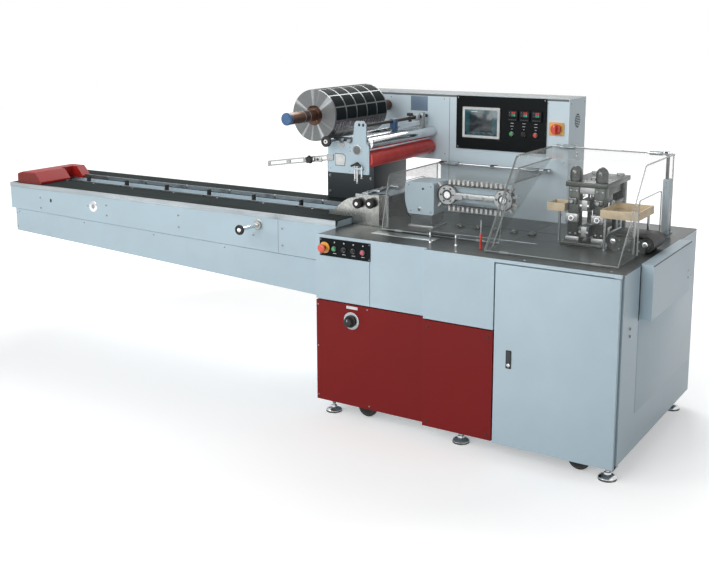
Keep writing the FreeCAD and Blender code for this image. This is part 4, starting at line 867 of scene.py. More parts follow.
@dataclass
class Cabinet(SubAssembly):
    """The closed cabinet with its panels, door, deck, discharge hood and feet."""

    door_edge: float = 0.0035
    latch_proud: float = 0.004
    foot_radius: float = 0.038
    foot_stem: float = 0.008
    foot_middle: float = 1.109
    foot_fronts: tuple[float, float, float] = (-0.408, -0.422, -0.443)
    screw_radius: float = 0.0055
    small_screw: float = 0.0035
    screw_inset: float = 0.022
    side_plate: float = 0.0015
    side_plate_low: float = 0.235
    side_screw_step: float = 0.03
    slot_width: float = 0.004
    slot_place: tuple[float, float, float] = (0.058, 0.407, 0.286)

    def build(self) -> None:
        """Makes the door and the feet, and finishes the plain panels."""
        self.frame.dress_node(WHITE, "cabinet_housing", "upper_front_panels", "discharge_hood",
                              "deck_front_lip")
        self.frame.dress_node(RED, "red_panel_left", "red_panel_middle")
        self.frame.dress_node(DECK, "deck_plate")
        self.frame.dress_node(SCREW, "door_hinges")
        self.make_door()
        self.make_feet()

    def make_door(self) -> None:
        """The door: a sheet with folded edges and a black recessed latch with a silver lock."""
        door = self.frame.box("cabinet_door")
        face = door.lo.y + self.latch_proud
        leaf = Form("door_leaf")
        leaf.block((door.lo.x, face, door.lo.z), door.hi, WHITE, self.door_edge)
        latch_left = door.lo.x + 0.056
        latch_low = door.lo.z + 0.34
        width, tall = 0.024, 0.077
        outline = rounded_rectangle((latch_left, latch_low), (latch_left + width, latch_low + tall), 0.002)
        leaf.prism(outline, Axis.Y, (face - 0.0022, face + 0.001), BLACK)
        inner = rounded_rectangle((latch_left + 0.005, latch_low + 0.027),
                                  (latch_left + width - 0.005, latch_low + tall - 0.004), 0.003)
        leaf.prism(inner, Axis.Y, (door.lo.y, face - 0.002), GREY, 0.0006)
        lock = Vector((latch_left + width / 2, face - 0.002, latch_low + 0.014))
        leaf.turned(lock, OUT, ((0, 0.0072), (0.0014, 0.0072), (0.002, 0.006)), CHROME, 24)
        leaf.block(lock + Vector((-0.0008, -0.0021, -0.004)), lock + Vector((0.0008, -0.0015, 0.004)), SEAM,
                   0)
        leaf.seat("cabinet_door", "cabinet_door")

    def make_feet(self) -> None:
        """Six levelling feet: domed pads, ball joints, threaded stems and lock nuts."""
        feet = self.frame.box("levelling_feet")
        r = self.foot_radius
        form = Form("foot_pads")
        pad = ((0, r * 0.95), (0.003, r), (0.010, r), (0.015, r * 0.9), (0.020, r * 0.66), (0.023, r * 0.42),
               (0.030, r * 0.36),
               (0.032, self.foot_stem))
        rear = feet.hi.y - r
        columns = ((feet.lo.x + r, self.foot_fronts[0]), (self.foot_middle, self.foot_fronts[1]),
                   (feet.hi.x - r, self.foot_fronts[2]))
        for x, front in columns:
            for y in (front, rear):
                base = Vector((x, y, 0))
                form.turned(base, UP, (*pad, (feet.hi.z, self.foot_stem)), CHROME)
                form.turned(base, UP, ((0, r), (0.008, r), (0.009, r * 0.9)), RUBBER)
                for thread in range(8):
                    low = 0.036 + thread * 0.004
                    form.turned(base, UP, ((low, 0.0078), (low + 0.002, 0.0092), (low + 0.004, 0.0078)),
                                SCREW, 20)
                form.turned(base + UP * (feet.hi.z - 0.012), UP,
                            ((0, 0.0125), (0.001, 0.0135), (0.010, 0.0135), (0.012, 0.0125)), SCREW, 6)
        form.seat(FIXED, "levelling_feet")

    def dress(self) -> None:
        """Adds screws, the side panel's edges, the label plate and the deck's slot."""
        red = self.frame.box("red_panel_left")
        middle = self.frame.box("red_panel_middle")
        body = self.frame.box("cabinet_housing")
        hood = self.frame.box("discharge_hood")
        deck = self.frame.box("deck_plate")
        screws = Form("panel_screws")
        edge = red.lo.x + 0.009
        for z in (red.hi.z - self.screw_inset, red.mid.z + 0.02, red.lo.z + self.screw_inset):
            screws.screw(Vector((edge, red.lo.y, z)), OUT, self.small_screw, SCREW)
        screws.screw(Vector((red.mid.x, red.lo.y, red.lo.z + 0.014)), OUT, self.small_screw, SCREW)
        screws.screw(Vector((red.mid.x - 0.01, red.lo.y, red.hi.z - 0.012)), OUT, self.small_screw, SCREW)
        for x in (middle.lo.x + self.screw_inset, middle.hi.x - self.screw_inset):
            for z in (middle.lo.z + self.screw_inset, middle.hi.z - self.screw_inset * 1.4):
                screws.screw(Vector((x, middle.lo.y, z)), OUT, self.screw_radius, BLACK)
        wall = body.hi.x
        for z in (0.59, 0.59 + self.side_screw_step):
            screws.screw(Vector((wall, body.lo.y + 0.093, z)), RIGHT, self.screw_radius, SCREW, hexagon=True)
            screws.screw(Vector((hood.hi.x, hood.hi.y - 0.03, z + 0.11)), RIGHT, self.screw_radius, SCREW)
        for y in (body.lo.y + 0.09, body.mid.y, body.hi.y - 0.09):
            for z in (body.lo.z + 0.05, body.hi.z - 0.12):
                screws.screw(Vector((body.lo.x, y, z)), -RIGHT, self.screw_radius, SCREW)
        screws.seat(FIXED)

        plate = Form("side_panel")
        plate.block((wall - 0.001, hood.lo.y - 0.004, self.side_plate_low),
                    (wall + self.side_plate, body.hi.y - 0.02, hood.lo.z + 0.02), WHITE, 0.0006)
        # Two dark strips: painted shadow in the gap at the hood's front edge, and a painted shade line along
        # the hood's side.
        plate.block((wall - 0.0005, hood.lo.y - 0.012, hood.lo.z - 0.004),
                    (wall + 0.001, hood.lo.y - 0.0005, hood.hi.z - 0.008), SEAM, 0)
        plate.block((hood.hi.x - 0.002, hood.lo.y, hood.hi.z - 0.006),
                    (hood.hi.x + 0.0015, hood.hi.y, hood.hi.z - 0.0035), SEAM, 0)
        plate.seat(FIXED)

        rear = Form("rear_access_panels")
        span = body.size.x / 3
        for i in range(3):
            lo = (body.lo.x + i * span + 0.012, body.hi.y - 0.001, body.lo.z + 0.02)
            hi = (body.lo.x + (i + 1) * span - 0.012, body.hi.y + 0.0025, body.hi.z - 0.03)
            rear.block(lo, hi, WHITE, 0.0012)
            for x in (lo[0] + self.screw_inset, hi[0] - self.screw_inset):
                for z in (lo[2] + self.screw_inset, hi[2] - self.screw_inset):
                    rear.screw(Vector((x, hi[1], z)), -OUT, self.screw_radius, SCREW)
        rear.seat(FIXED)

        knob = self.frame.box("cabinet_hand_knob")
        label = Form("bare_label_plate")
        low = (knob.mid.x - 0.026, knob.hi.z + 0.026)
        label.prism(rounded_rectangle(low, (low[0] + 0.06, low[1] + 0.013), 0.002), Axis.Y,
                    (red.lo.y - 0.0012, red.lo.y + 0.0005), PALE, 0.0003)
        label.seat(FIXED)

        slot = Form("deck_slot")
        left, right, back = self.slot_place
        top = deck.hi.z
        start = red.lo.x
        slot.block((start + left, red.lo.y + back, top - 0.0005),
                   (start + right, red.lo.y + back + self.slot_width, top + 0.0004), SEAM, 0)
        slot.seat(FIXED)


@dataclass
class Castors(SubAssembly):
    """Four swivel castors: a pressed fork on a bearing disc and a rubber wheel."""

    disc_radius: float = 0.028
    cheek: float = 0.003

    def build(self) -> None:
        """Makes each fork and wheel."""
        for row in ("front", "rear"):
            for side in ("left", "right"):
                self.make_castor(f"{row}_{side}")

    def make_castor(self, place: str) -> None:
        """One castor.

        Args:
            place: the end of its nodes' names.
        """
        fork_node, wheel_node = f"castor_fork_{place}", f"castor_wheel_{place}"
        fork, wheel = self.frame.box(fork_node), self.frame.box(wheel_node)
        pin = Vector((fork.lo.x + self.disc_radius, fork.mid.y, fork.hi.z))
        hub = wheel.mid
        form = Form(f"castor_fork_{place}_shape")
        disc = self.disc_radius
        form.turned(pin, -UP, ((0, 0.0066), (0, disc * 0.96), (0.001, disc), (0.005, disc),
                               (0.0075, disc * 0.86), (0.0075, 0.0066), (0, 0.0066)), BLACK)
        outline = rounded_path([(pin.x - 0.013, pin.z - 0.005), (pin.x + 0.02, pin.z - 0.005),
                                (hub.x + 0.010, hub.z + 0.012),
                                (hub.x + 0.010, hub.z - 0.010), (hub.x - 0.012, hub.z - 0.010),
                                (pin.x - 0.013, pin.z - 0.03)], 0.008, 4, closed=True)
        for y in (fork.lo.y, fork.hi.y - self.cheek):
            form.prism(outline, Axis.Y, (y, y + self.cheek), BLACK, 0.0008)
        form.rod(Vector((hub.x, fork.lo.y, hub.z)), Vector((hub.x, fork.hi.y, hub.z)), 0.005, SCREW)
        form.seat(fork_node, fork_node)

        radius = wheel.size.z / 2
        half = wheel.size.y / 2
        tyre = Form(f"castor_wheel_{place}_shape")
        start = Vector((hub.x, wheel.lo.y, hub.z))
        way = -OUT
        rim = radius - 0.014
        tyre.turned(start, way, ((0.003, rim), (0.001, radius - 0.009), (0.0025, radius - 0.003),
                                 (0.007, radius), (half * 2 - 0.007, radius),
                                 (half * 2 - 0.0025, radius - 0.003), (half * 2 - 0.001, radius - 0.009),
                                 (half * 2 - 0.003, rim), (0.003, rim)), RUBBER, 48)
        tyre.turned(start, way, ((0.004, rim + 0.001), (0.007, 0.016), (0.0, 0.012), (0.0, 0.0055),
                                 (half * 2, 0.0055), (half * 2, 0.012),
                                 (half * 2 - 0.007, 0.016), (half * 2 - 0.004, rim + 0.001),
                                 (0.004, rim + 0.001)), BLACK, 48)
        tyre.seat(wheel_node, wheel_node)


# ---------------------------------------------------------------- infeed


@dataclass
class Infeed(SubAssembly):
    """The long infeed conveyor with its pusher chain, tail cover and handwheel."""

    trim_sheet: float = 0.0006
    trim_fold: float = 0.010
    skirt: float = 0.025
    chain_radius: float = 0.038
    chain_band: float = 0.008
    link_pitch: float = 0.0254
    link_half: float = 0.008
    lug_start: float = 0.258
    lug_pitch: float = 0.305
    lug_count: int = 6
    screw_radius: float = 0.0062
    screw_columns: tuple[tuple[float, float, float], ...] = (
        (0.250, 0.822, 0.762), (0.773, 0.826, 0.771), (1.291, 0.823, 0.762), (1.78, 0.775, 0.775),
        (1.958, 0.825, 0.742))
    seam_screws: tuple[float, ...] = (0.03, 0.56, 1.08, 1.56)

    def build(self) -> None:
        """Makes the chain, the cover and the handwheel, and finishes the sheets."""
        self.frame.dress_node(WHITE, "infeed_housing", "infeed_side_panels")
        # The infeed deck's top in the darker copy of the stainless: painted shade.
        self.frame.dress_node(INFEED_DECK_PAINTED_SHADE, "infeed_deck_plates")
        self.frame.dress_node(TRIM, "infeed_guide_rails")
        self.frame.dress_node(MACHINED, "infeed_sprockets")
        self.make_trim()
        self.make_chain()
        self.make_cover()
        self.make_handwheel()

    def make_trim(self) -> None:
        """The bright folded edges of the deck sheets, front and rear."""
        deck = self.frame.box("infeed_deck_plates")
        form = Form("infeed_edge_trim")
        t = self.trim_sheet
        low, top = deck.hi.z - self.skirt, deck.hi.z
        for y, way in ((deck.lo.y, 1), (deck.hi.y, -1)):
            path = [(y - way * t, low), (y - way * t, top + t), (y + way * self.trim_fold, top + t)]
            outline = ribbon(path if way > 0 else path[::-1], -t)
            form.prism(outline, Axis.X, (deck.lo.x + 0.001, deck.hi.x - 0.001), TRIM, 0)
        form.seat(FIXED)

    def make_chain(self) -> None:
        """The roller chain: outer and inner link plates, rollers, and black pusher lugs on both runs."""
        chain = self.frame.box("infeed_chain")
        form = Form("roller_chain")
        straight = chain.size.x - 2 * self.chain_radius
        around = 2 * (straight + math.pi * (self.chain_radius - self.chain_band / 2))
        count = round(around / self.link_pitch / 2) * 2
        pitch = around / count
        middle = chain.mid.y
        ends = (chain.lo.x + self.chain_radius, chain.hi.x - self.chain_radius)
        centre = self.chain_radius - self.chain_band / 2
        joints = [loop_place(i * pitch, ends, chain.mid.z, centre)[0] for i in range(count + 1)]
        for i in range(count):
            (x0, z0), (x1, z1) = joints[i:i + 2]
            ahead = Vector((x1 - x0, 0, z1 - z0)).normalized()
            across = Vector((-ahead.z, 0, ahead.x)) * 0.0036
            outline = [(x0 - ahead.x * 0.003 + s * across.x, z0 - ahead.z * 0.003 + s * across.z)
                       for s in (-1, 1)]
            outline += [(x1 + ahead.x * 0.003 + s * across.x, z1 + ahead.z * 0.003 + s * across.z)
                        for s in (1, -1)]
            gap = self.link_half + (0.0022 if i % 2 else 0.0)
            for side in (-1, 1):
                form.prism(outline, Axis.Y, (middle + side * gap - 0.001, middle + side * gap + 0.001),
                           MACHINED, 0)
            form.turned(Vector((x0, middle - self.link_half, z0)), -OUT,
                        ((0, 0.003), (2 * self.link_half, 0.003)), SCREW, 8)
        top, low = chain.hi.z, chain.lo.z
        run_top, run_low = chain.mid.z + self.chain_radius, chain.mid.z - self.chain_radius
        for i in range(self.lug_count):
            x = chain.lo.x + self.lug_start + i * self.lug_pitch
            for base, tip in ((run_top - 0.004, top), (run_low + 0.004, low)):
                outline = [(x, base), (x + 0.012, base), (x + 0.012, tip), (x + 0.004, tip)]
                form.prism(outline, Axis.Y, (middle - 0.012, middle + 0.012), BLACK, 0.001)
        form.seat(FIXED, "infeed_chain")

    def make_cover(self) -> None:
        """The red tail cover: a bevelled sheet hood with a notch for the lugs and a paler, duller copy of its
        red on the front face, which is painted light.
        """
        cover = self.frame.box("infeed_tail_cover")
        lo, hi = cover.lo, cover.hi
        bevel, edge = 0.045, 0.013
        profile = rounded_path([(lo.x, lo.z), (hi.x, lo.z), (hi.x, lo.z + edge), (hi.x - bevel, hi.z),
                                (lo.x + bevel, hi.z), (lo.x, hi.z - edge)],
                               0.008, 4, closed=True)
        form = Form("tail_cover_hood")
        notch_front, notch_rear, notch_left = lo.y + 0.220, lo.y + 0.315, hi.x - 0.080
        form.prism(profile, Axis.Y, (lo.y + 0.001, notch_front), COVER_RED, 0.003)
        form.prism(profile, Axis.Y, (notch_rear, hi.y), COVER_RED, 0.003)
        bridge = [(x, z) for x, z in profile if x < notch_left] + [(notch_left, hi.z), (notch_left, lo.z)]
        bridge.sort(key=lambda p: math.atan2(p[1] - cover.mid.z, p[0] - (lo.x + notch_left) / 2))
        form.prism(bridge, Axis.Y, (notch_front - 0.002, notch_rear + 0.002), COVER_RED, 0)
        inset = 0.004
        middle = cover.mid
        face = [(middle.x + (x - middle.x) * (1 - 2 * inset / cover.size.x),
                 middle.z + (z - middle.z) * (1 - 2 * inset / cover.size.z) - 0.001)
                for x, z in profile]
        # The front face in the duller copy of the red: painted light.
        form.prism(face, Axis.Y, (lo.y, lo.y + 0.002), COVER_FRONT_PAINTED_LIGHT, 0.0005)
        form.seat(FIXED, "infeed_tail_cover")

    def make_handwheel(self) -> None:
        """The black handwheel with a silver hub, its shaft and the steel boss on the panel."""
        wheel = self.frame.box("infeed_handwheel")
        panel = self.frame.box("infeed_side_panels")
        radius = wheel.size.z / 2
        start = Vector((wheel.mid.x, wheel.lo.y, wheel.mid.z))
        way = -OUT
        form = Form("infeed_handwheel_shape")
        form.turned(start, way, ((0.002, radius * 0.66), (0.0, radius * 0.8), (0.002, radius * 0.95),
                                 (0.008, radius), (0.013, radius * 0.95),
                                 (0.016, radius * 0.8), (0.013, radius * 0.66), (0.002, radius * 0.66)),
                    BLACK)
        form.turned(start, way, ((0.006, radius * 0.68), (0.009, radius * 0.68), (0.009, 0.009),
                                 (0.006, 0.009), (0.006, radius * 0.68)), BLACK)
        form.turned(start, way, ((0.003, 0.004), (0.002, 0.0105), (0.004, 0.012), (0.030, 0.012),
                                 (0.032, 0.0095), (wheel.size.y, 0.0078)), CHROME)
        form.seat("infeed_handwheel", "infeed_handwheel")
        boss = Form("infeed_wheel_boss")
        seat = Vector((wheel.mid.x, panel.lo.y, wheel.mid.z))
        boss.turned(seat, way, ((0.0, 0.0085), (-0.0008, 0.012), (-0.0008, 0.0205), (0.001, 0.0226),
                                (0.013, 0.0226), (0.014, 0.026), (0.0155, 0.026)), STEEL)
        boss.seat(FIXED)

    def dress(self) -> None:
        """Adds panel screws, the oval hole, the round cap, seams and clips on the guide rails."""
        panel = self.frame.box("infeed_side_panels")
        deck = self.frame.box("infeed_deck_plates")
        rails = self.frame.box("infeed_guide_rails")
        skin = 0.015
        front, rear = panel.lo.y + skin, panel.hi.y
        form = Form("infeed_screws")
        for along, upper, lower in self.screw_columns:
            x = deck.lo.x + along
            for z in {upper, lower}:
                form.screw(Vector((x, front, z)), OUT, self.screw_radius, SCREW)
                form.screw(Vector((x, rear, z)), -OUT, self.screw_radius, SCREW)
        slope = (0.740 - 0.689) / deck.size.x
        for along in self.seam_screws:
            x = deck.lo.x + 0.033 + along
            form.screw(Vector((x, front + 0.002, 0.7385 - slope * along - 0.014)), OUT,
                       self.screw_radius * 0.7, SCREW)
            form.screw(Vector((x, rear - 0.002, 0.7385 - slope * along - 0.014)), -OUT,
                       self.screw_radius * 0.7, SCREW)
        for z in (0.86, 0.79, 0.757):
            for y in (front + 0.05, rear - 0.05):
                form.screw(Vector((panel.lo.x, y, z)), -RIGHT, self.screw_radius, SCREW)
        for z in (0.715, 0.635):
            form.screw(Vector((deck.lo.x + 0.033 + 0.012, front + 0.002, z)), OUT, self.screw_radius * 0.7,
                       SCREW)
        form.seat(FIXED)

        extras = Form("infeed_panel_fittings")
        hole = ellipse((deck.lo.x + 0.335, 0.812), (0.0075, 0.011))
        extras.prism(hole, Axis.Y, (front - 0.0006, front + 0.001), SEAM, 0)
        cap = Vector((deck.lo.x + 0.673, front, 0.810))
        extras.turned(cap, OUT, ((0, 0.030), (0.0012, 0.030), (0.002, 0.0285)), CHROME)
        extras.turned(cap, OUT, ((0.002, 0.012), (0.004, 0.011)), SCREW)
        for dx in (-0.045, -0.032):
            extras.screw(cap + Vector((dx, 0, 0)), OUT, 0.0035, SCREW)
        seam_x = deck.hi.x - 0.337
        extras.block((seam_x, front - 0.0004, 0.705), (seam_x + 0.0018, front + 0.001, deck.hi.z - 0.026),
                     EDGE_GREY, 0)
        extras.seat(FIXED)

        clips = Form("guide_rail_clips")
        for i in range(self.lug_count):
            x = rails.lo.x + 0.11 + i * self.lug_pitch
            clips.block((x, rails.lo.y - 0.0015, deck.hi.z),
                        (x + 0.014, rails.lo.y + 0.008, deck.hi.z + 0.0075), SCREW, 0.001)
            clips.block((x + 0.07, rails.hi.y - 0.0075, deck.hi.z),
                        (x + 0.082, rails.hi.y + 0.001, rails.hi.z + 0.001), SCREW, 0.001)
            clips.screw(Vector((x + 0.11, rails.lo.y - 0.012, deck.hi.z)), UP, 0.005, SCREW)
        for x in (rails.lo.x, rails.hi.x - 0.02):
            clips.screw(Vector((x + 0.01, rails.lo.y - 0.02, deck.hi.z)), UP, 0.007, SCREW, hexagon=True)
        clips.seat(FIXED)


# ---------------------------------------------------------------- forms in the machine's millimetres

CORNER = Vector((0.394, -0.488, 0.0))


def at(x: float, y: float, z: float) -> Vector:
    """The point that many millimetres from the cabinet's left front corner on the floor."""
    return CORNER + Vector((x, y, z)) * MM


class Drawn(Form):
    """A form drawn in millimetres from the cabinet's left front corner on the floor."""

    def bar(self, lo: Point, hi: Point, finish: Finish, bevel: float = 1.0) -> Drawn:
        """Adds a block between two corners."""
        self.block(at(*lo), at(*hi), finish, bevel * MM)
        return self

    def plate(self, outline: Sequence[Pair], axis: Axis, span: Pair, finish: Finish,
              bevel: float = 0.8) -> Drawn:
        """Adds a flat outline drawn across an axis, as (y, z), (x, z) or (x, y), thick as the span."""
        first, second, along = {
            Axis.X: (CORNER.y, CORNER.z, CORNER.x),
            Axis.Y: (CORNER.x, CORNER.z, CORNER.y),
            Axis.Z: (CORNER.x, CORNER.y, CORNER.z),
        }[axis]
        moved = [(a * MM + first, b * MM + second) for a, b in outline]
        self.prism(moved, axis, (span[0] * MM + along, span[1] * MM + along), finish, bevel * MM)
        return self

    def pin(self, start: Point, end: Point, radius: float, finish: Finish, chamfer: float = 0.6) -> Drawn:
        """Adds a round bar between two points."""
        self.rod(at(*start), at(*end), radius * MM, finish, chamfer * MM)
        return self

    def spun(self, start: Point, way: Vector, profile: Sequence[Pair], finish: Finish,
             sides: int = ROUND_SIDES) -> Drawn:
        """Adds a turned solid, its profile as (distance along the axis, radius)."""
        self.turned(at(*start), way, [(along * MM, radius * MM) for along, radius in profile], finish, sides)
        return self

    def pipe(self, path: Sequence[Point], radius: float, finish: Finish) -> Drawn:
        """Adds a round tube along a path."""
        self.swept([at(*point) for point in path], radius * MM, finish)
        return self

    def bolt(self, seat: Point, way: Vector, radius: float = 4.0, finish: Finish = SCREW,
             hexagon: bool = False) -> Drawn:
        """Adds a screw head on its seat."""
        self.screw(at(*seat), way, radius * MM, finish, hexagon)
        return self


# ---------------------------------------------------------------- rear housing and controls


@dataclass
class RearHousing(SubAssembly):
    """The tall white housing along the rear and the grey column under its overhang."""

    front: float = 825.0
    rear: float = 1038.0
    top: float = 1448.0
    left: float = -409.0
    right: float = 871.0
    step: float = 200.0
    overhang: float = 1120.0
    deck: float = 860.0
    fold: float = 245.0

    def build(self) -> None:
        """Makes the folded housing with its cover line and the column."""
        wall = ((self.left, self.overhang), (self.step, self.overhang), (self.step, self.deck),
                (self.right, self.deck), (self.right, self.top), (self.left, self.top))
        shell = Drawn("rear_housing_shell")
        # The housing's white is the lightened copy of the white coat: painted light.
        shell.plate(wall, Axis.Y, (self.front, self.rear), WHITE_PAINTED_LIGHT, 4.0)
        shell.bar((self.left + 6, self.front - 1.0, self.top - 12),
                  (self.right - 4, self.front + 2, self.top - 2), EDGE_GREY, 0.6)
        shell.bar((self.left + 6, self.front + 6, self.top - 1),
                  (self.right - 6, self.rear - 6, self.top + 0.8), EDGE_GREY, 0.4)
        shell.seat(FIXED, "rear_housing")
        column = Drawn("support_column_casting")
        column.bar((self.left, 703, 892.5), (-120, self.rear, self.overhang), GREY, 5.0)
        column.bar((self.left, 749, 560), (-120, self.rear, 893), GREY, 5.0)
        column.bar((self.left - 1, 701, 1100), (-118, self.rear - 20, 1119.6), EDGE_GREY, 2.0)
        column.seat(FIXED, "support_column")

    def dress(self) -> None:
        """Adds the seams, the plain blue plate, the vent, the lock, the screws and the rear covers."""
        front, right = self.front, self.right
        trim = Drawn("rear_housing_fittings")
        trim.bar((self.fold, front - 0.6, 862), (self.fold + 2, front + 1, self.top - 14), EDGE_GREY, 0)
        trim.bar((self.step + 4, front - 1.5, 864), (self.step + 12, front + 1, 1118), WHITE_PAINTED_LIGHT, 0.6)
        trim.bar((25, front - 1.4, 1360), (122, front + 0.4, 1434), PLATE_BLUE, 0.5)
        vent = (right, 930, 1340)
        trim.spun(vent, RIGHT, ((0, 39), (1.4, 38.5), (1.8, 37)), WHITE_PAINTED_LIGHT)
        trim.spun((right + 1.8, 930, 1340), RIGHT, ((0, 33), (0.5, 32.5)), SEAM)
        for i in range(7):
            half = math.sqrt(31 ** 2 - (i * 8 - 24) ** 2)
            trim.bar((right + 1.5, 930 - half, 1340 + i * 8 - 26),
                     (right + 3.6, 930 + half, 1340 + i * 8 - 22), WHITE_PAINTED_LIGHT, 0.6)
        trim.spun((right, 930, 1180), RIGHT, ((0, 11), (2, 11), (3, 9)), CHROME)
        trim.spun((right + 3, 930, 1180), RIGHT, ((0, 5), (2.5, 4.5)), SEAM)
        for z in (890, 1140, 1425):
            for y in (front + 22, self.rear - 22):
                trim.bolt((right, y, z), RIGHT, 3.5)
        for x in (-380, -90, 215, 765):
            trim.bolt((x, front, 1424), OUT, 3.2)
        for x in (222, 850):
            for z in (900, 1150):
                trim.bolt((x, front, z), OUT, 3.2)
        for x in (-390, -139):
            for z in (925, 1010, 1085):
                trim.bolt((x, 703, z), OUT, 6, hexagon=True)
        trim.seat(FIXED)

        covers = Drawn("rear_housing_back_covers")
        for lo, hi, low in ((-390, -60, 1140), (-40, 190, 1140), (215, 525, 885), (545, 855, 885)):
            covers.plate(rounded_rectangle((lo, low), (hi, 1430), 8), Axis.Y,
                         (self.rear - 0.4, self.rear + 1.6), WHITE_PAINTED_LIGHT, 0.6)
            for x in (lo + 12, hi - 12):
                for z in (low + 12, 1418):
                    covers.bolt((x, self.rear + 1.6, z), -OUT, 3.5)
        for i in range(8):
            slot = rounded_rectangle((250, 960 + i * 16), (490, 966 + i * 16), 2.9, 3)
            covers.plate(slot, Axis.Y, (self.rear + 1.2, self.rear + 2.0), SEAM, 0)
        covers.seat(FIXED)


@dataclass
class Controls(SubAssembly):
    """The operator's panel, the main switch, the buttons along the cabinet and its hand knob."""

    face: float = 817.0
    left: float = 288.0
    right: float = 761.0
    low: float = 1185.0
    top: float = 1445.0
    button_xs: tuple[float, ...] = (587.0, 648.0, 709.0)
    lower_xs: tuple[float, ...] = (104.0, 154.0, 204.0, 254.0)
    meter_left: float = 568.0
    meter_pitch: float = 61.0

    def button(self, form: Drawn, x: float, face: float, z: float, cap: Finish, radius: float = 12.0,
               tall: float = 14.0) -> None:
        """Adds a push button: a chromed collar and a coloured cap."""
        form.spun((x, face, z), OUT, ((0, radius), (tall * 0.35, radius), (tall * 0.45, radius * 0.93)),
                  SCREW)
        form.spun((x, face - tall * 0.4, z), OUT, ((0, radius * 0.8), (tall * 0.45, radius * 0.8),
                                                   (tall * 0.6, radius * 0.62)), cap)

    def make_screen(self) -> None:
        """The touchscreen: a silver frame round a dark page with a pale title line and key fields."""
        screen = Drawn("touchscreen_unit")
        lo, hi = (325, 1242), (525, 1393)
        screen.plate(rounded_rectangle(lo, hi, 5), Axis.Y, (self.face - 7.6, self.face), MACHINED, 1.2)
        border = 13
        screen.plate(rounded_rectangle((lo[0] + 3, lo[1] + 3), (hi[0] - 3, hi[1] - 3), 4), Axis.Y,
                     (self.face - 8, self.face - 6), PALE, 0.6)
        screen.bar((lo[0] + border, self.face - 8.6, lo[1] + border),
                   (hi[0] - border, self.face - 7, hi[1] - border), SCREEN, 0.4)
        screen.bar((lo[0] + 40, self.face - 9.2, lo[1] + 30), (hi[0] - 40, self.face - 8, hi[1] - 32),
                   SCREEN_DARK, 0.3)
        screen.bar((lo[0] + 50, self.face - 9.0, hi[1] - 25), (lo[0] + 82, self.face - 8, hi[1] - 21), PALE,
                   0.2)
        for i in range(4):
            x = lo[0] + 44 + i * 29
            screen.bar((x, self.face - 9.0, lo[1] + 18), (x + 20, self.face - 8, lo[1] + 25), SCREEN_DARK,
                       0.2)
        screen.seat(FIXED, "touchscreen")

    def make_meters(self) -> None:
        """Three temperature controllers with two rows of digits, small lamps and four keys each."""
        meters = Drawn("temperature_controller_fronts")
        digits = Drawn("temperature_controller_displays")
        segments = ((0, 4, 5, 1), (0, 0, 5, 1), (0, 8, 5, 1), (0, 0, 1, 4), (0, 4, 1, 5), (4, 0, 1, 4),
                    (4, 4, 1, 5))
        shapes = {2: (0, 1, 2, 3, 6), 5: (0, 1, 2, 4, 5), 8: (0, 1, 2, 3, 4, 5, 6), 0: (1, 2, 3, 4, 5, 6),
                  1: (5, 6), 3: (0, 1, 2, 5, 6)}
        for i in range(3):
            x, face = self.meter_left + self.meter_pitch * i, self.face - 10
            meters.plate(rounded_rectangle((x, 1335), (x + 50, 1385), 3), Axis.Y, (face, self.face),
                         PANEL_BLACK, 1.0)
            meters.plate(rounded_rectangle((x + 4, 1356), (x + 46, 1382), 2), Axis.Y,
                         (face - 0.4, face + 0.6), SEAM, 0.2)
            for k in range(4):
                meters.plate(rounded_rectangle((x + 5 + k * 10.5, 1338), (x + 12.5 + k * 10.5, 1343), 1.5),
                             Axis.Y, (face - 1, face + 1), GREY, 0.3)
            for row, (colour, shown) in enumerate(((DIGITS_RED, (1, 5, 0)), (DIGITS_GREEN, (1, 5, 8)))):
                for k, figure in enumerate(shown):
                    for index in shapes[figure]:
                        dx, dz, wide, tall = segments[index]
                        left, low = x + 16 + k * 8 + dx, 1369 - row * 11.5 + dz
                        digits.bar((left, face - 0.9, low), (left + wide, face - 0.2, low + tall), colour,
                                   0.1)
            for k in range(2):
                digits.spun((x + 9, face - 0.2, 1375 - k * 12), OUT, ((0, 1.2), (0.6, 1.0)),
                            DIGITS_RED if k else DIGITS_GREEN, 10)
        meters.seat(FIXED, "temperature_controllers")
        digits.seat(FIXED)

    def build(self) -> None:
        """Makes the panel, the screen, the controllers, the buttons and the main switch."""
        panel = Drawn("control_panel_face")
        panel.plate(rounded_rectangle((self.left, self.low), (self.right, self.top), 3), Axis.Y,
                    (self.face, self.face + 8), PANEL_BLACK, 1.2)
        for z in (1322, 1308, 1294):
            for x in self.button_xs:
                panel.bar((x - (8 if z != 1294 else 4), self.face - 0.5, z),
                          (x + (8 if z != 1294 else 4), self.face + 0.2, z + 2), PALE, 0)
        for x in (self.left + 9, self.right - 9):
            for z in (self.low + 9, self.top - 9):
                panel.bolt((x, self.face, z), OUT, 3.2)
        panel.seat(FIXED, "control_panel")
        self.make_screen()
        self.make_meters()

        buttons = Drawn("push_button_heads")
        self.button(buttons, self.button_xs[0], self.face, 1272, GREEN_PLASTIC)
        self.button(buttons, self.button_xs[1], self.face, 1272, BLACK)
        buttons.bar((self.button_xs[1] - 3.5, self.face - 14, 1261),
                    (self.button_xs[1] + 3.5, self.face - 8, 1283), BLACK, 1.5)
        self.button(buttons, self.button_xs[2], self.face, 1272, RED_PLASTIC)
        for x, cap in zip(self.lower_xs, (GREEN_PLASTIC, BLACK, BLACK, PINK_PLASTIC)):
            self.button(buttons, x, -3, 806, cap)
        buttons.seat(FIXED, "push_buttons")

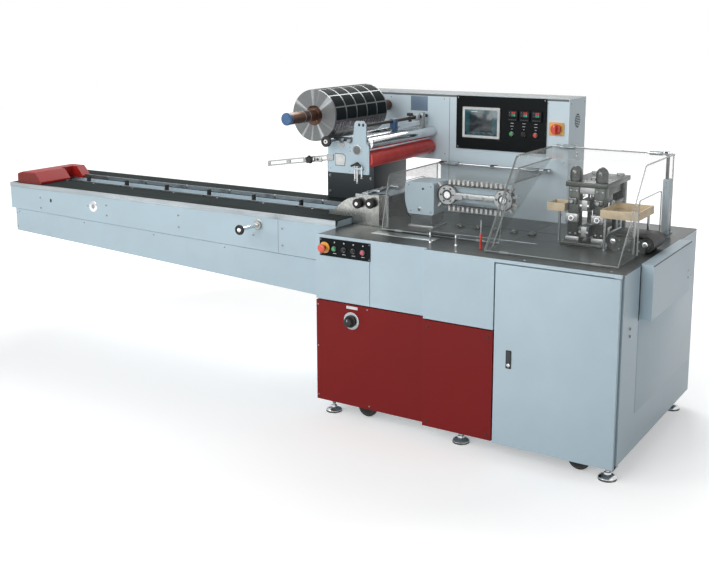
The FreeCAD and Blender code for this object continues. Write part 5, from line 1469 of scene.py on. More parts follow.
        plate = Drawn("main_switch_backplate")
        plate.plate(rounded_rectangle((775, 1276), (848, 1337), 4), Axis.Y, (819, 825), YELLOW, 1.0)
        plate.spun((811.5, 819.6, 1306.5), OUT, ((0, 27), (2.2, 26.5), (2.2, 25), (0, 25), (0, 27)), YELLOW)
        for dx, dz in ((-30, -24), (30, -24), (-30, 24), (30, 24)):
            plate.bolt((811.5 + dx, 819, 1306.5 + dz), OUT, 2.4)
        plate.seat(FIXED, "main_switch_plate")
        knob = Drawn("main_switch_rotary_knob")
        knob.pin((811.5, 838, 1306.5), (811.5, 812, 1306.5), 5.5, BLACK)
        knob.spun((811.5, 813, 1306.5), OUT, ((0, 24), (9, 24), (11, 22.5)), RED_PLASTIC)
        knob.plate(rounded_rectangle((804, 1284), (819, 1329), 7), Axis.Y, (785.2, 804), RED_PLASTIC, 2.5)
        knob.bar((809.8, 784.9, 1318), (813.2, 786, 1326), PALE, 0.3)
        knob.seat("main_switch_knob", "main_switch_knob")

    def dress(self) -> None:
        """Makes the lower button panel, its lamps, the emergency stop and the cabinet's hand knob."""
        lower = Drawn("lower_button_plate")
        lower.plate(rounded_rectangle((23, 768), (292, 849.6), 4), Axis.Y, (-3, 0), PANEL_BLACK, 0.8)
        for x in self.lower_xs:
            lower.spun((x, -3, 835), OUT, ((0, 3.2), (1.4, 3), (2, 1.5)), PALE, 14)
            lower.bar((x - 9, -3.5, 783), (x + 9, -2.8, 785), PALE, 0)
        lower.spun((50, -2.8, 806), OUT, ((0, 26), (0.8, 26)), YELLOW)
        for x in (29, 286):
            for z in (775, 842):
                lower.bolt((x, -3, z), OUT, 2.6)
        lower.seat(FIXED, "lower_button_panel")
        stop = Drawn("emergency_stop_mushroom")
        stop.pin((50, 4.6, 806), (50, -25, 806), 8.5, BLACK)
        stop.spun((50, -24, 806), OUT, ((0, 15), (1, 18.5), (4, 20), (8, 19.6), (11, 17), (13, 12),
                                        (13.9, 5)), STOP_RED)
        stop.seat("emergency_stop", "emergency_stop")
        knob = Drawn("cabinet_knob_with_pointer")
        knob.pin((190, 9, 482), (190, -8, 482), 6, SCREW)
        knob.spun((190, -6, 482), OUT, ((0, 26), (3, 28.6), (6, 28.6), (8, 22), (24, 20), (29, 19),
                                        (31.5, 15)), BLACK)
        for x, z in ring((190, 482), 20.4, 20):
            knob.pin((x, -15, z), (x, -34, z), 1.5, BLACK, 0.4)
        knob.bar((188.8, -38, 486), (191.2, -36.5, 497), PALE, 0.2)
        knob.seat("cabinet_hand_knob", "cabinet_hand_knob")
        dial = Drawn("cabinet_knob_dial")
        dial.spun((190, -0.2, 482), OUT, ((0, 40), (0.8, 40), (1.2, 39)), TRIM)
        for x, z in ring((190, 482), 34, 24):
            dial.spun((x, -1.2, z), OUT, ((0, 1.1), (0.3, 1.0)), SEAM, 8)
        dial.seat(FIXED)


# ---------------------------------------------------------------- unwinder


@dataclass
class Unwinder(SubAssembly):
    """The film reel on its shaft, the bracket plate with rollers, rods and handwheel, the scale arm."""

    reel: Pair = (-113.0, 1381.0)
    plate_front: float = 196.0
    plate_back: float = 204.0
    wheel: Pair = (-24.0, 1268.0)
    chrome: Pair = (148.0, 1259.0)
    red: Pair = (138.0, 1185.0)
    roller_ends: Pair = (209.5, 819.5)

    def make_reel(self) -> None:
        """The wound film, printed with dark blocks above and thin bands below, on its core."""
        x, z = self.reel
        film = Drawn("film_reel_wound_film")
        film.spun((x, 158, z), -OUT, ((0, 46), (0, 118), (1.5, 119.6), (460.5, 119.6), (462, 118), (462, 46)),
                  FILM_END, 72)
        film.spun((x, 157.8, z), -OUT, ((0.2, 27.9), (0.2, 46), (462.4, 46), (462.4, 27.9), (0.2, 27.9)),
                  BROWN_SHAFT)
        film.seat("film_reel", "film_reel")
        web = Drawn("film_reel_printed_web")
        rows = 12
        step = math.tau / rows
        for i in range(rows):
            angle = step * i + math.radians(21)
            dark = math.sin(angle + step / 2) > 0.05
            for k in range(5):
                lo = 170 + k * 90
                self.patch(web, angle, angle + step * (0.90 if dark else 0.8), (lo, lo + 80),
                           FILM_BLOCK if dark else FILM_BAND)
        web.seat("film_reel")

    def patch(self, form: Drawn, start: float, end: float, span: Pair, finish: Finish) -> None:
        """Adds a printed block that lies on the wound film between two turns."""
        turns = [start + (end - start) * i / 8 for i in range(9)]
        x, z = self.reel
        outer = [(x + 119.95 * math.cos(turn), z + 119.95 * math.sin(turn)) for turn in turns]
        inner = [(x + 119.0 * math.cos(turn), z + 119.0 * math.sin(turn)) for turn in reversed(turns)]
        form.plate(outer + inner, Axis.Y, span, finish, 0)

    def make_spindle(self) -> None:
        """The reel's shaft with its blue end cap, its front stop ring and its hub disc at the rear."""
        x, z = self.reel
        shaft = Drawn("reel_spindle_shaft")
        shaft.pin((x, 824.5, z), (x, -40, z), 27.2, BROWN_SHAFT, 1.0)
        shaft.spun((x, -39, z), OUT, ((0, 27.4), (4, 28.5), (18, 28.5), (22.5, 24)), BLUE_PLASTIC)
        for y in (60, 100):
            shaft.spun((x, y, z), OUT, ((0, 28.4), (0.6, 28.8), (2.4, 28.8), (3, 28.4)), SCREW)
        shaft.seat(FIXED, "reel_spindle")
        hub = Drawn("reel_rear_hub_disc")
        hub.spun((x, 628, z), -OUT, ((0, 60), (2, 62), (7, 62), (9, 58), (9, 28.5), (0, 28.5), (0, 60)), TRIM,
                 48)
        hub.spun((x, 637, z), -OUT, ((0, 44), (26, 40), (30, 36), (30, 28.5), (0, 28.5), (0, 44)), GREY)
        for bolt_x, bolt_z in ring(self.reel, 52, 6):
            hub.bolt((bolt_x, 628, bolt_z), OUT, 3.2)
        hub.seat(FIXED)

    def make_plate(self) -> None:
        """The white bracket plate with its tongue, round plugs, folded window and bearings."""
        front = self.plate_front
        outline = ((-62, 1118), (163, 1118), (163, 1247), (147, 1262), (147, 1346), (131, 1362), (96, 1362),
                   (86, 1352), (74, 1265), (-50, 1265), (-62, 1253))
        plate = Drawn("unwinder_bracket_plate")
        plate.plate(rounded_path(outline, 7, 3, closed=True), Axis.Y, (front, self.plate_back), WHITE, 1.2)
        plate.spun((100, front, 1229), OUT, ((0, 25), (2.4, 24.6), (3, 23)), MACHINED)
        plate.spun((100, front - 3, 1229), OUT, ((0, 20), (0.5, 19)), EDGE_GREY)
        turns = [math.radians(a) for a in range(0, 181, 12)]
        half = [(14 + 21 * math.cos(a), 1257 - 21 * math.sin(a)) for a in turns]
        plate.plate(half, Axis.Y, (front - 2, front + 0.5), MACHINED, 0.5)
        for x in (105, 127):
            plate.plate(rounded_rectangle((x, 1338), (x + 11, 1352), 5), Axis.Y, (front - 0.7, front + 0.4),
                        SEAM, 0)
        window = ((-22, 1150), (32, 1150), (38, 1196), (22, 1208), (-22, 1208))
        plate.plate(window, Axis.Y, (front - 0.8, front + 0.3), EDGE_GREY, 0)
        plate.plate([(x * 0.9 + 1, (z - 1180) * 0.88 + 1180) for x, z in window], Axis.Y,
                    (front - 1.6, front + 0.3), PALE, 0.3)
        for x, z in ((-48, 1136), (-48, 1240), (60, 1240), (62, 1222), (148, 1136), (60, 1130)):
            plate.bolt((x, front, z), OUT, 3.4)
        plate.seat(FIXED, "unwinder_plate")

    def make_rods(self) -> None:
        """The block, the tie bars with their nuts, the guide rod, the flat bar, the clamps and the sensor."""
        back = self.plate_back
        rods = Drawn("unwinder_rods_and_block")
        rods.bar((-36, back, 1230), (78, back + 36, 1280), GREY, 3.0)
        for x in (18, 62):
            rods.pin((x, 180.5, 1270), (x, 824, 1270), 6.8, CHROME)
            rods.spun((x, back, 1270), OUT, ((0, 11), (22, 11), (24, 9)), SCREW, 6)
        rods.pin((116, back - 1, 1338), (116, 824, 1338), 7.8, BLACK)
        rods.bar((113, back - 1, 1290.5), (123, 824, 1311.5), CHROME, 1.2)
        for (x, z), reach in ((self.chrome, 824), (self.red, 824)):
            rods.pin((x, back - 6, z), (x, 210, z), 8.8, SCREW)
            rods.pin((x, 819, z), (x, reach, z), 8.8, SCREW)
        rods.seat(FIXED, "unwinder_rods")
        clamps = Drawn("unwinder_clamps_and_sensor")
        clamps.bar((104, 480, 1284), (131, 512, 1349), BLUE_PLASTIC, 2.5)
        clamps.bar((100, 486, 1292), (104.6, 506, 1306), SCREW, 0.8)
        clamps.bar((102, 700, 1322), (132, 726, 1350), SCREW, 2.0)
        clamps.bar((106, 640, 1349), (128, 664, 1364), BLACK, 1.5)
        clamps.pin((117, 652, 1330), (117, 652, 1350), 4, SCREW)
        clamps.bar((99, 668, 1318), (108, 688, 1342), BLACK, 1.5)
        clamps.bar((108, 760, 1280), (128, 790, 1356), MACHINED, 2.0)
        for y in (486, 506):
            clamps.bolt((131, y, 1338), RIGHT, 2.6)
        for x, z in (self.chrome, self.red):
            clamps.bar((x - 17, 820.6, z - 17), (x + 17, 825, z + 17), GREY, 1.5)
        clamps.seat(FIXED)

    def make_rollers(self) -> None:
        """The chrome roller and the red rubber roller with its flats."""
        (near, far) = self.roller_ends
        (x, z) = self.chrome
        chrome = Drawn("chrome_roller_tube")
        chrome.spun((x, near, z), -OUT, ((0.2, 9.6), (0.2, 24), (2, 26.8), (far - near - 2, 26.8),
                                         (far - near - 0.2, 24), (far - near - 0.2, 9.6), (0.2, 9.6)), CHROME,
                    48)
        chrome.spun((x, near + 8, z), -OUT, ((0, 26.7), (0.5, 26.98), (9.5, 26.98), (10, 26.7)), SCREW, 48)
        chrome.seat("chrome_roller", "chrome_roller")
        (x, z) = self.red
        red = Drawn("red_roller_sleeve")
        red.spun((x, near, z), -OUT, ((0.2, 10), (0.2, 34), (1.5, 36), (8, 37.8), (far - near - 34, 37.8),
                                      (far - near - 30, 37.8), (far - near - 30, 10), (0.2, 10)), RED_RUBBER,
                 48)
        red.spun((x, far - 30, z), -OUT, ((0, 37.9), (20, 37.6), (29.6, 27), (29.6, 10), (0, 10), (0, 37.9)),
                 RED_RUBBER, 8)
        red.seat("red_roller", "red_roller")

    def make_handwheel(self) -> None:
        """The small black handwheel with a silver centre and a ribbed rim."""
        x, z = self.wheel
        wheel = Drawn("unwinder_handwheel_rim")
        wheel.spun((x, 136, z), OUT, ((0, 24), (2, 24.8), (15, 24.8), (17.6, 21), (17.6, 14), (14, 12),
                                      (0, 12), (0, 24)), BLACK)
        wheel.spun((x, 135, z), OUT, ((0, 12.2), (13, 12.2), (15, 10)), CHROME)
        wheel.spun((x, 120, z), OUT, ((0, 4.4), (1.4, 4)), SEAM, 6)
        wheel.pin((x, 219.5, z), (x, 130, z), 6.8, SCREW)
        for rib_x, rib_z in ring(self.wheel, 24, 16):
            wheel.pin((rib_x, 121.5, rib_z), (rib_x, 134, rib_z), 0.9, BLACK, 0.3)
        wheel.seat("unwinder_handwheel", "unwinder_handwheel")

    def build(self) -> None:
        """Makes the unwinder's main forms."""
        self.make_reel()
        self.make_spindle()
        self.make_plate()
        self.make_rods()
        self.make_rollers()
        self.make_handwheel()

    def dress(self) -> None:
        """Adds the clamp lever, the hanging pins and the slotted scale arm with its star knob."""
        front = self.plate_front
        lever = Drawn("plate_clamp_lever_and_pins")
        lever.spun((101, front, 1165), OUT, ((0, 9), (14, 8), (18, 6)), BLACK)
        lever.pipe(((76, front - 15, 1156), (88, front - 17, 1161), (101, front - 17, 1166),
                    (118, front - 17, 1164), (130, front - 16, 1158)), 5, BLACK)
        for x, low in ((92, 1088), (104, 1076), (128, 1100)):
            lever.pin((x, front - 8, 1158), (x, front - 8, low), 3.2, CHROME)
            lever.spun((x, front - 8, low), UP, ((0, 5), (8, 5), (9, 4)), SCREW)
        lever.bar((84, front - 13, 1140), (136, front, 1149), TRIM, 1.0)
        lever.seat(FIXED)
        left, right, low, rise, tall = -410.0, -30.0, 1118.0, 57.0, 27.0

        def up(x: float) -> float:
            """The arm's lower edge at a distance along it."""
            return low + rise * (x - left) / (right - left)

        arm = Drawn("scale_arm_slotted_bar")
        ends = (left + 1, left + 118), (left + 180, left + 292), (left + 330, right - 1)
        for half in (0, 1):
            z = half * (tall - 7)
            arm.plate(((left, up(left) + z), (right, up(right) + z), (right, up(right) + z + 7),
                       (left, up(left) + z + 7)), Axis.Y, (front - 6, front), MACHINED, 0.6)
        for start, end in ((left, left + 14), (left + 112, left + 136), (left + 244, left + 262),
                           (right - 36, right)):
            arm.plate(((start, up(start) + 6.5), (end, up(end) + 6.5), (end, up(end) + 20.5),
                       (start, up(start) + 20.5)), Axis.Y, (front - 6, front), MACHINED, 0.3)
        for start, end in ends:
            for i in range(int((end - start) // 10)):
                x = start + i * 10
                arm.bar((x, front - 6.4, up(x) + 1), (x + 0.8, front - 5.8, up(x) + (5 if i % 5 else 6.6)),
                        SEAM, 0)
        arm.seat(FIXED, "scale_arm")
        knob = Drawn("scale_arm_star_knob")
        x = -155.0
        z = up(x) + tall / 2
        knob.spun((x, front - 6, z), OUT, ((0, 9), (8, 9), (9, 16), (20, 16), (24, 12)), BLACK)
        for arm_x, arm_z in ring((x, z), 14, 5, 0.3):
            knob.pin((arm_x, front - 14, arm_z), (arm_x, front - 27, arm_z), 6, BLACK, 1.5)
        knob.bar((x - 40, front - 14, z - 12), (x - 18, front - 6, z + 8), SCREW, 2.0)
        knob.bar((x + 20, front - 12, z - 9), (x + 66, front - 6, z + 14), MACHINED, 1.5)
        knob.bolt((x + 43, front - 12, z + 3), OUT, 6, BLACK)
        knob.bolt((left + 7, front - 6, up(left) + 13), OUT, 4, SCREW)
        knob.seat(FIXED)


# ---------------------------------------------------------------- units on the deck


@dataclass
class DeckUnits(SubAssembly):
    """The forming plough, the gear case with the finger belt, the deck handle and the marker post."""

    deck: float = 860.0
    belt_ends: Pair = (462.0, 740.0)
    belt_z: float = 1025.0
    belt_radius: float = 50.0
    finger: float = 21.8
    fingers_a_side: int = 12

    def make_plough(self) -> None:
        """The curved stainless plough, its side cheeks, upper plate and clamping knobs."""
        plough = Drawn("forming_box_plough")
        skin = 3.0
        curve = [(-134 + 150 * t, 893 + 90 * math.sin(math.pi / 2 * t) ** 1.3)
                 for t in (i / 10 for i in range(11))]
        for y0, y1 in ((302, 305), (605, 608)):
            cheek = curve + [(60, 1000), (193, 1012), (193, 861), (5, 861), (5, 893)]
            plough.plate(cheek, Axis.Y, (y0, y1), STEEL, 0.8)
        plough.plate(ribbon(curve + [(60, 985), (120, 990)], skin), Axis.Y, (304, 606), STEEL, 0)
        plough.bar((40, 304, 1000), (193, 606, 1004), TRIM, 1.0)
        plough.bar((150, 302, 862), (192, 330, 1011), BLACK, 2.0)
        plough.bar((150, 580, 862), (192, 608, 1011), BLACK, 2.0)
        plough.bar((4, 330, 861), (150, 338, 1000), STEEL, 1.0)
        plough.bar((4, 572, 861), (150, 580, 1000), STEEL, 1.0)
        plough.bar((52, 316, 1003), (84, 594, 1012), MACHINED, 1.5)
        plough.seat(FIXED, "forming_box")
        knobs = Drawn("forming_box_clamp_knobs")
        for x, z in ((43, 962), (113, 968)):
            knobs.pin((x, 303, z), (x, 292, z), 8, SCREW)
            knobs.spun((x, 294, z), OUT, ((0, 20), (3, 24), (16, 24), (20, 20)), BLACK, 10)
            knobs.spun((x, 274.4, z), OUT, ((0, 9), (1.5, 8)), CHROME)
        for x, y in ((62, 350), (74, 420), (62, 490), (74, 560)):
            knobs.bolt((x, y, 1011.5), UP, 5, hexagon=True)
        for x in (-60, -20, 20):
            knobs.bolt((x, 302, 905 if x > 0 else 915), OUT, 3.5)
        knobs.bar((84, 360, 1011), (120, 376, 1019), TRIM, 1.0)
        knobs.bar((84, 520, 1011), (128, 536, 1019), TRIM, 1.0)
        knobs.seat(FIXED)

    def make_drive(self) -> None:
        """The white gear case with its rounded corner, foot and screws, and the belt's plate and wheels."""
        case = Drawn("finger_belt_gear_case")
        outline = rounded_path(((253, 985), (270, 925), (405, 925), (405, 1075), (262, 1075), (253, 1066)),
                               14, 5, closed=True)
        case.plate(outline, Axis.Y, (370, 530), WHITE, 3.0)
        case.bar((273, 390, self.deck + 0.5), (385, 510, 927), GREY, 2.0)
        case.bar((262, 384, self.deck), (396, 516, self.deck + 10), MACHINED, 1.5)
        right = self.belt_ends[1]
        plate = [(404, self.belt_z - 33), (right + 10, self.belt_z - 33), (right + 38, self.belt_z - 12),
                 (right + 38, self.belt_z + 12), (right + 10, self.belt_z + 33), (404, self.belt_z + 33)]
        case.plate(plate, Axis.Y, (424.3, 435.8), WHITE, 1.5)
        for x in self.belt_ends:
            case.spun((x, 424.6, self.belt_z), OUT, ((0, 40), (6, 40), (8, 45.4), (30, 45.4), (32.4, 43)),
                      MACHINED, 40)
            case.spun((x, 392, self.belt_z), OUT, ((0, 24), (1.4, 24), (1.4, 17), (0, 17), (0, 24)), SEAM)
            case.spun((x, 394, self.belt_z), OUT, ((0, 16), (3.6, 15), (3.6, 6)), CHROME)
            for bore_x, bore_z in ring((x, self.belt_z), 32, 6):
                case.spun((bore_x, 392.4, bore_z), OUT, ((0, 5), (0.6, 5)), SEAM, 16)
        case.seat(FIXED, "finger_belt_drive")
        marks = Drawn("gear_case_fittings")
        for x, z in ((272, 1060), (390, 1060), (390, 940), (284, 940)):
            marks.bolt((x, 370, z), OUT, 4)
        marks.spun((348, 370, 1046), OUT, ((0, 6), (0.8, 6)), SEAM)
        marks.spun((330, 370, 950), OUT, ((0, 9), (2, 9), (3, 7)), SCREW)
        marks.spun((330, 367, 950), OUT, ((0, 5), (0.6, 4)), SEAM)
        marks.plate(rounded_rectangle((496, 1008), (540, 1030), 9), Axis.Y, (391, 394), SCREW, 0.6)
        marks.bar((500, 394, self.belt_z - 12), (700, 424, self.belt_z + 12), MACHINED, 2.0)
        for x in (560, 640):
            marks.bolt((x, 394, self.belt_z), OUT, 4.5, hexagon=True)
        marks.seat(FIXED)

    def make_belt(self) -> None:
        """The black toothed belt and its white fingers with steel roots."""
        left, right = self.belt_ends
        length = 2 * (right - left) + math.tau * self.belt_radius
        steps = 96
        outer, inner = [], []
        for i in range(steps):
            (x, z), (dx, dz) = loop_place(length * i / steps, self.belt_ends, self.belt_z, self.belt_radius)
            outer.append((x, z))
            inner.append((x - 4.3 * dx, z - 4.3 * dz))
        belt = Drawn("finger_belt_loop")
        for i in range(steps):
            k = (i + 1) % steps
            belt.plate((outer[i], outer[k], inner[k], inner[i]), Axis.Y, (390, 420), RUBBER, 0)
        for i in range(120):
            (x, z), (dx, dz) = loop_place(length * i / 120, self.belt_ends, self.belt_z, self.belt_radius)
            if abs(dz) == 1.0:
                belt.bar((x - 1.6, 390.6, z - 6.6 * dz), (x + 1.6, 400, z - 4.2 * dz), RUBBER, 0)
        belt.seat(FIXED, "finger_belt")
        fingers = Drawn("finger_belt_fingers")
        straight = right - left
        for side in (1, -1):
            for i in range(self.fingers_a_side):
                x = left + straight * (i + 0.5) / self.fingers_a_side
                root = self.belt_z + side * self.belt_radius
                tip = self.belt_z + side * (self.belt_radius + self.finger)
                fingers.bar((x - 6, 391, root), (x + 6, 419, root + side * 5), MACHINED, 0.8)
                fingers.plate(((x - 5.5, root + side * 4), (x + 5.5, root + side * 4), (x + 4.2, tip),
                               (x - 4.2, tip)), Axis.Y, (392.5, 404), FINGER_WHITE, 1.0)
                fingers.plate(((x - 5.5, root + side * 4), (x + 5.5, root + side * 4), (x + 4.2, tip),
                               (x - 4.2, tip)), Axis.Y, (406, 417.5), FINGER_WHITE, 1.0)
        for x, way in ((right, 1), (left, -1)):
            for turn in (-50, -17, 17, 50):
                angle = math.radians(turn)
                dx, dz = way * math.cos(angle), math.sin(angle)
                base = (x + dx * self.belt_radius, self.belt_z + dz * self.belt_radius)
                tip = (x + dx * (self.belt_radius + self.finger),
                       self.belt_z + dz * (self.belt_radius + self.finger))
                if way < 0 and abs(turn) < 30:
                    continue
                side_way = (-dz, dx)
                outline = [(base[0] + 5 * side_way[0], base[1] + 5 * side_way[1]),
                           (tip[0] + 4 * side_way[0], tip[1] + 4 * side_way[1]),
                           (tip[0] - 4 * side_way[0], tip[1] - 4 * side_way[1]),
                           (base[0] - 5 * side_way[0], base[1] - 5 * side_way[1])]
                fingers.plate(outline, Axis.Y, (392.5, 404), FINGER_WHITE, 0.8)
                fingers.plate(outline, Axis.Y, (406, 417.5), FINGER_WHITE, 0.8)
        fingers.seat(FIXED)

    def build(self) -> None:
        """Makes the deck's units."""
        self.make_plough()
        self.make_drive()
        self.make_belt()
        handle = Drawn("deck_handle_bow")
        for x in (525, 650):
            handle.pin((x, 118, self.deck), (x, 118, 900), 4.8, CHROME)
            handle.spun((x, 118, self.deck), UP, ((0, 6.8), (3, 6.8), (6, 5)), CHROME)
            handle.spun((x, 118, 892), UP, ((0, 5), (2, 6.9), (12, 6.9), (16, 4)), CHROME)
        handle.pin((520, 118, 902), (655, 118, 902), 6.2, BLACK, 1.5)
        handle.seat(FIXED, "deck_handle")
        post = Drawn("marker_post_red")
        post.spun((766, 120, self.deck), UP, ((0, 6.8), (4, 6.8), (5, 5.6), (60, 5.6), (61, 6.9),
                                              (64.5, 6.9)), RED_PLASTIC, 20)
        post.pin((766, 120, 924), (766, 120, 984.5), 2.8, SCREW)
        post.seat(FIXED, "marker_post")

    def dress(self) -> None:
        """Adds the slotted strips, a band of painted highlight, seams and screws let into the deck."""
        deck = Drawn("deck_strips_and_screws")
        deck.bar((210, 226, self.deck - 0.5), (800, 232, self.deck + 0.7), SEAM, 0.2)
        # A bright band of the deck's own stainless: painted highlight.
        deck.bar((200, 150, self.deck - 0.5), (520, 215, self.deck + 0.9), DECK_PAINTED_HIGHLIGHT, 0.4)
        deck.bar((430, 560, self.deck - 0.5), (930, 566, self.deck + 0.7), SEAM, 0.2)
        deck.bar((430, 330, self.deck - 0.5), (930, 338, self.deck + 1.2), TRIM, 0.4)
        deck.bar((820, 60, self.deck - 0.5), (822, 815, self.deck + 0.5), SEAM, 0)
        for x in (60, 380, 700, 1010, 1370):
            for y in (20, 770):
                deck.bolt((x, y, self.deck), UP, 5)
        for x in (470, 560, 650, 740, 830):
            deck.bar((x, 470, self.deck), (x + 30, 500, self.deck + 14), GUNMETAL, 1.5)
            deck.bolt((x + 15, 485, self.deck + 14), UP, 5, hexagon=True)
        deck.seat(FIXED)


# ---------------------------------------------------------------- sealing jaws, discharge and guards


@dataclass
class Jaws(SubAssembly):
    """The sealing unit: columns, head, domed caps and guide rods, with the two sliding jaws."""

    columns: tuple[float, float] = (1031.0, 1146.0)
    rows: tuple[float, float] = (425.0, 665.0)
    side: float = 50.0
    deck: float = 860.0
    top: float = 1110.0
    jaw_x: float = 1113.5
    rods: tuple[float, float] = (510.0, 630.0)

    def build(self) -> None:
        """Makes the frame and the jaws."""
        frame = Drawn("jaw_unit_frame")
        frame.bar((1015, 380, self.deck), (1212, 760, 876), GUNMETAL, 2.5)
        for x in self.columns:
            for y in self.rows:
                frame.bar((x, y, 874), (x + self.side, y + self.side, self.top + 1), GUNMETAL, 5.0)
                frame.bar((x - 6, y - 6, 875), (x + self.side + 6, y + self.side + 6, 893), MACHINED, 3.0)
            frame.bar((x + 8, self.rows[0] + self.side - 2, 1070),
                      (x + self.side - 8, self.rows[1] + 2, 1104), GUNMETAL, 3.0)
            frame.bar((x + 12, self.rows[0] + self.side - 2, 880),
                      (x + self.side - 12, self.rows[1] + 2, 890), GUNMETAL, 1.5)
        frame.bar((1021, 415, self.top), (1206, 725, 1132), GUNMETAL, 3.0)
        frame.bar((1080, 430, 1080), (1147, 446, self.top + 1), MACHINED, 2.0)
        for x in self.columns:
            middle = (x + 25, 450, 1131)
            frame.spun(middle, UP, ((0, 26.8), (3, 26.8), (4, 25), (7, 25), (8, 26.8), (38, 26.8), (46, 25.4),
                                    (54, 21.5), (61, 15.5), (66, 8), (68.6, 2)), CAP_DARK)
            frame.spun((x + 25, 690, 1131), UP, ((0, 18), (10, 18), (12, 16)), MACHINED, 6)
        for y in self.rods:
            frame.pin((self.jaw_x, y, 875), (self.jaw_x, y, self.top + 1), 10.8, CHROME)
            frame.spun((self.jaw_x, y, 875), UP, ((0, 19), (12, 19), (14, 17)), MACHINED)
            frame.spun((self.jaw_x, y, 1131), UP, ((0, 15), (9, 15), (11, 13)), SCREW, 6)
        frame.seat(FIXED, "jaw_frame")
        for name, low, seal in (("upper_jaw", 1010.0, -1), ("lower_jaw", 895.0, 1)):
            self.make_jaw(name, low, seal)

    def make_jaw(self, name: str, low: float, seal: int) -> None:
        """A jaw that slides on the rods: cheeks, bored blocks, a ribbed sealing face and heater ends.

        Args:
            name: its CAD node and body.
            low: height of its lower side.
            seal: 1 where the sealing face looks up, or -1.
        """
        left, right, high = self.jaw_x - 25, self.jaw_x + 25, low + 50
        jaw = Drawn(f"{name}_with_sealing_face")
        for x0, x1 in ((left + 0.4, left + 13.2), (right - 13.2, right - 0.4)):
            jaw.bar((x0, 400.5, low + 4), (x1, 734.5, high - 4), GUNMETAL, 2.0)
        for y0, y1 in ((402, 498), (522, 618), (642, 733)):
            jaw.bar((left + 12, y0, low + 3), (right - 12, y1, high - 3), MACHINED, 1.0)
        face = high if seal > 0 else low
        for i in range(9):
            x = left + 6 + i * 4.6
            for y0, y1 in ((406, 496), (524, 616), (644, 729)):
                jaw.bar((x, y0, face - seal * 5), (x + 2.4, y1, face - seal * 0.2), TRIM, 0.4)
        for y in self.rods:
            jaw.spun((self.jaw_x, y, low + 0.5), UP, ((0, 11.7), (0, 15.5), (1, 16.2), (48, 16.2), (49, 15.5),
                                                      (49, 11.7), (0, 11.7)), MACHINED)
        for x in (left + 9, right - 9):
            jaw.spun((x, 400.9, low + 25), OUT, ((0, 5), (0.7, 5)), CHROME, 16)
        jaw.seat(name, name)

    def dress(self) -> None:
        """Adds bolts, clamp blocks, adjusters, a bored bracket and crank discs round the columns."""
        bits = Drawn("jaw_unit_fittings")
        for x in self.columns:
            for z in (905, 1092):
                for dx in (12, 38):
                    bits.bolt((x + dx, self.rows[0], z), OUT, 4.5)
            bits.bar((x - 3, 405, 958), (x + 53, 427, 996), MACHINED, 3.0)
            bits.spun((x + 25, 405, 977), OUT, ((0, 14), (6, 14), (8, 12)), CHROME)
            bits.bolt((x + 25, 397, 977), OUT, 6, hexagon=True)
            bits.bar((x + 6, 409, 1036), (x + 44, 427, 1062), CAP_DARK, 3.0)
            bits.spun((x + 25, 409, 1049), OUT, ((0, 10), (12, 10), (14, 8)), SCREW, 6)
            for y in (470, 690):
                bits.bolt((x + self.side, y, 960), RIGHT, 4.5)
                bits.bolt((x + self.side, y, 1060), RIGHT, 4.5)
        for x, y in ((1032, 740), (1195, 740), (1026, 392), (1201, 392)):
            bits.bolt((x, y, 876), UP, 6, hexagon=True)
        for x in (1100, 1128):
            bits.pin((x, 436, 1080), (x, 436, 1066), 4, CHROME)
        for x, y in ((1090, 470), (1137, 470), (1090, 670), (1137, 670)):
            bits.bolt((x, y, 1132), UP, 5)
        bits.plate(rounded_rectangle((560, 900), (640, 985), 8), Axis.X, (1196, 1202), TRIM, 1.0)
        bits.spun((1202, 600, 955), RIGHT, ((0, 17), (0.8, 17)), SEAM)
        for y, z in ((568, 908), (632, 908), (568, 977), (632, 977)):
            bits.bolt((1202, y, z), RIGHT, 3.5)
        bits.spun((1196, 500, 1030), RIGHT, ((0, 24), (10, 24), (12, 22)), MACHINED)
        bits.spun((1206, 500, 1030), RIGHT, ((0, 9), (4, 9)), SCREW, 6)
        bits.bar((1198, 470, 1026), (1205, 640, 1044), GUNMETAL, 2.0)
        bits.pipe([(1146, 440 + 6 * i, 1064 + 22 * math.sin(i * 0.42)) for i in range(9)], 2.2, BLACK)
        bits.seat(FIXED)


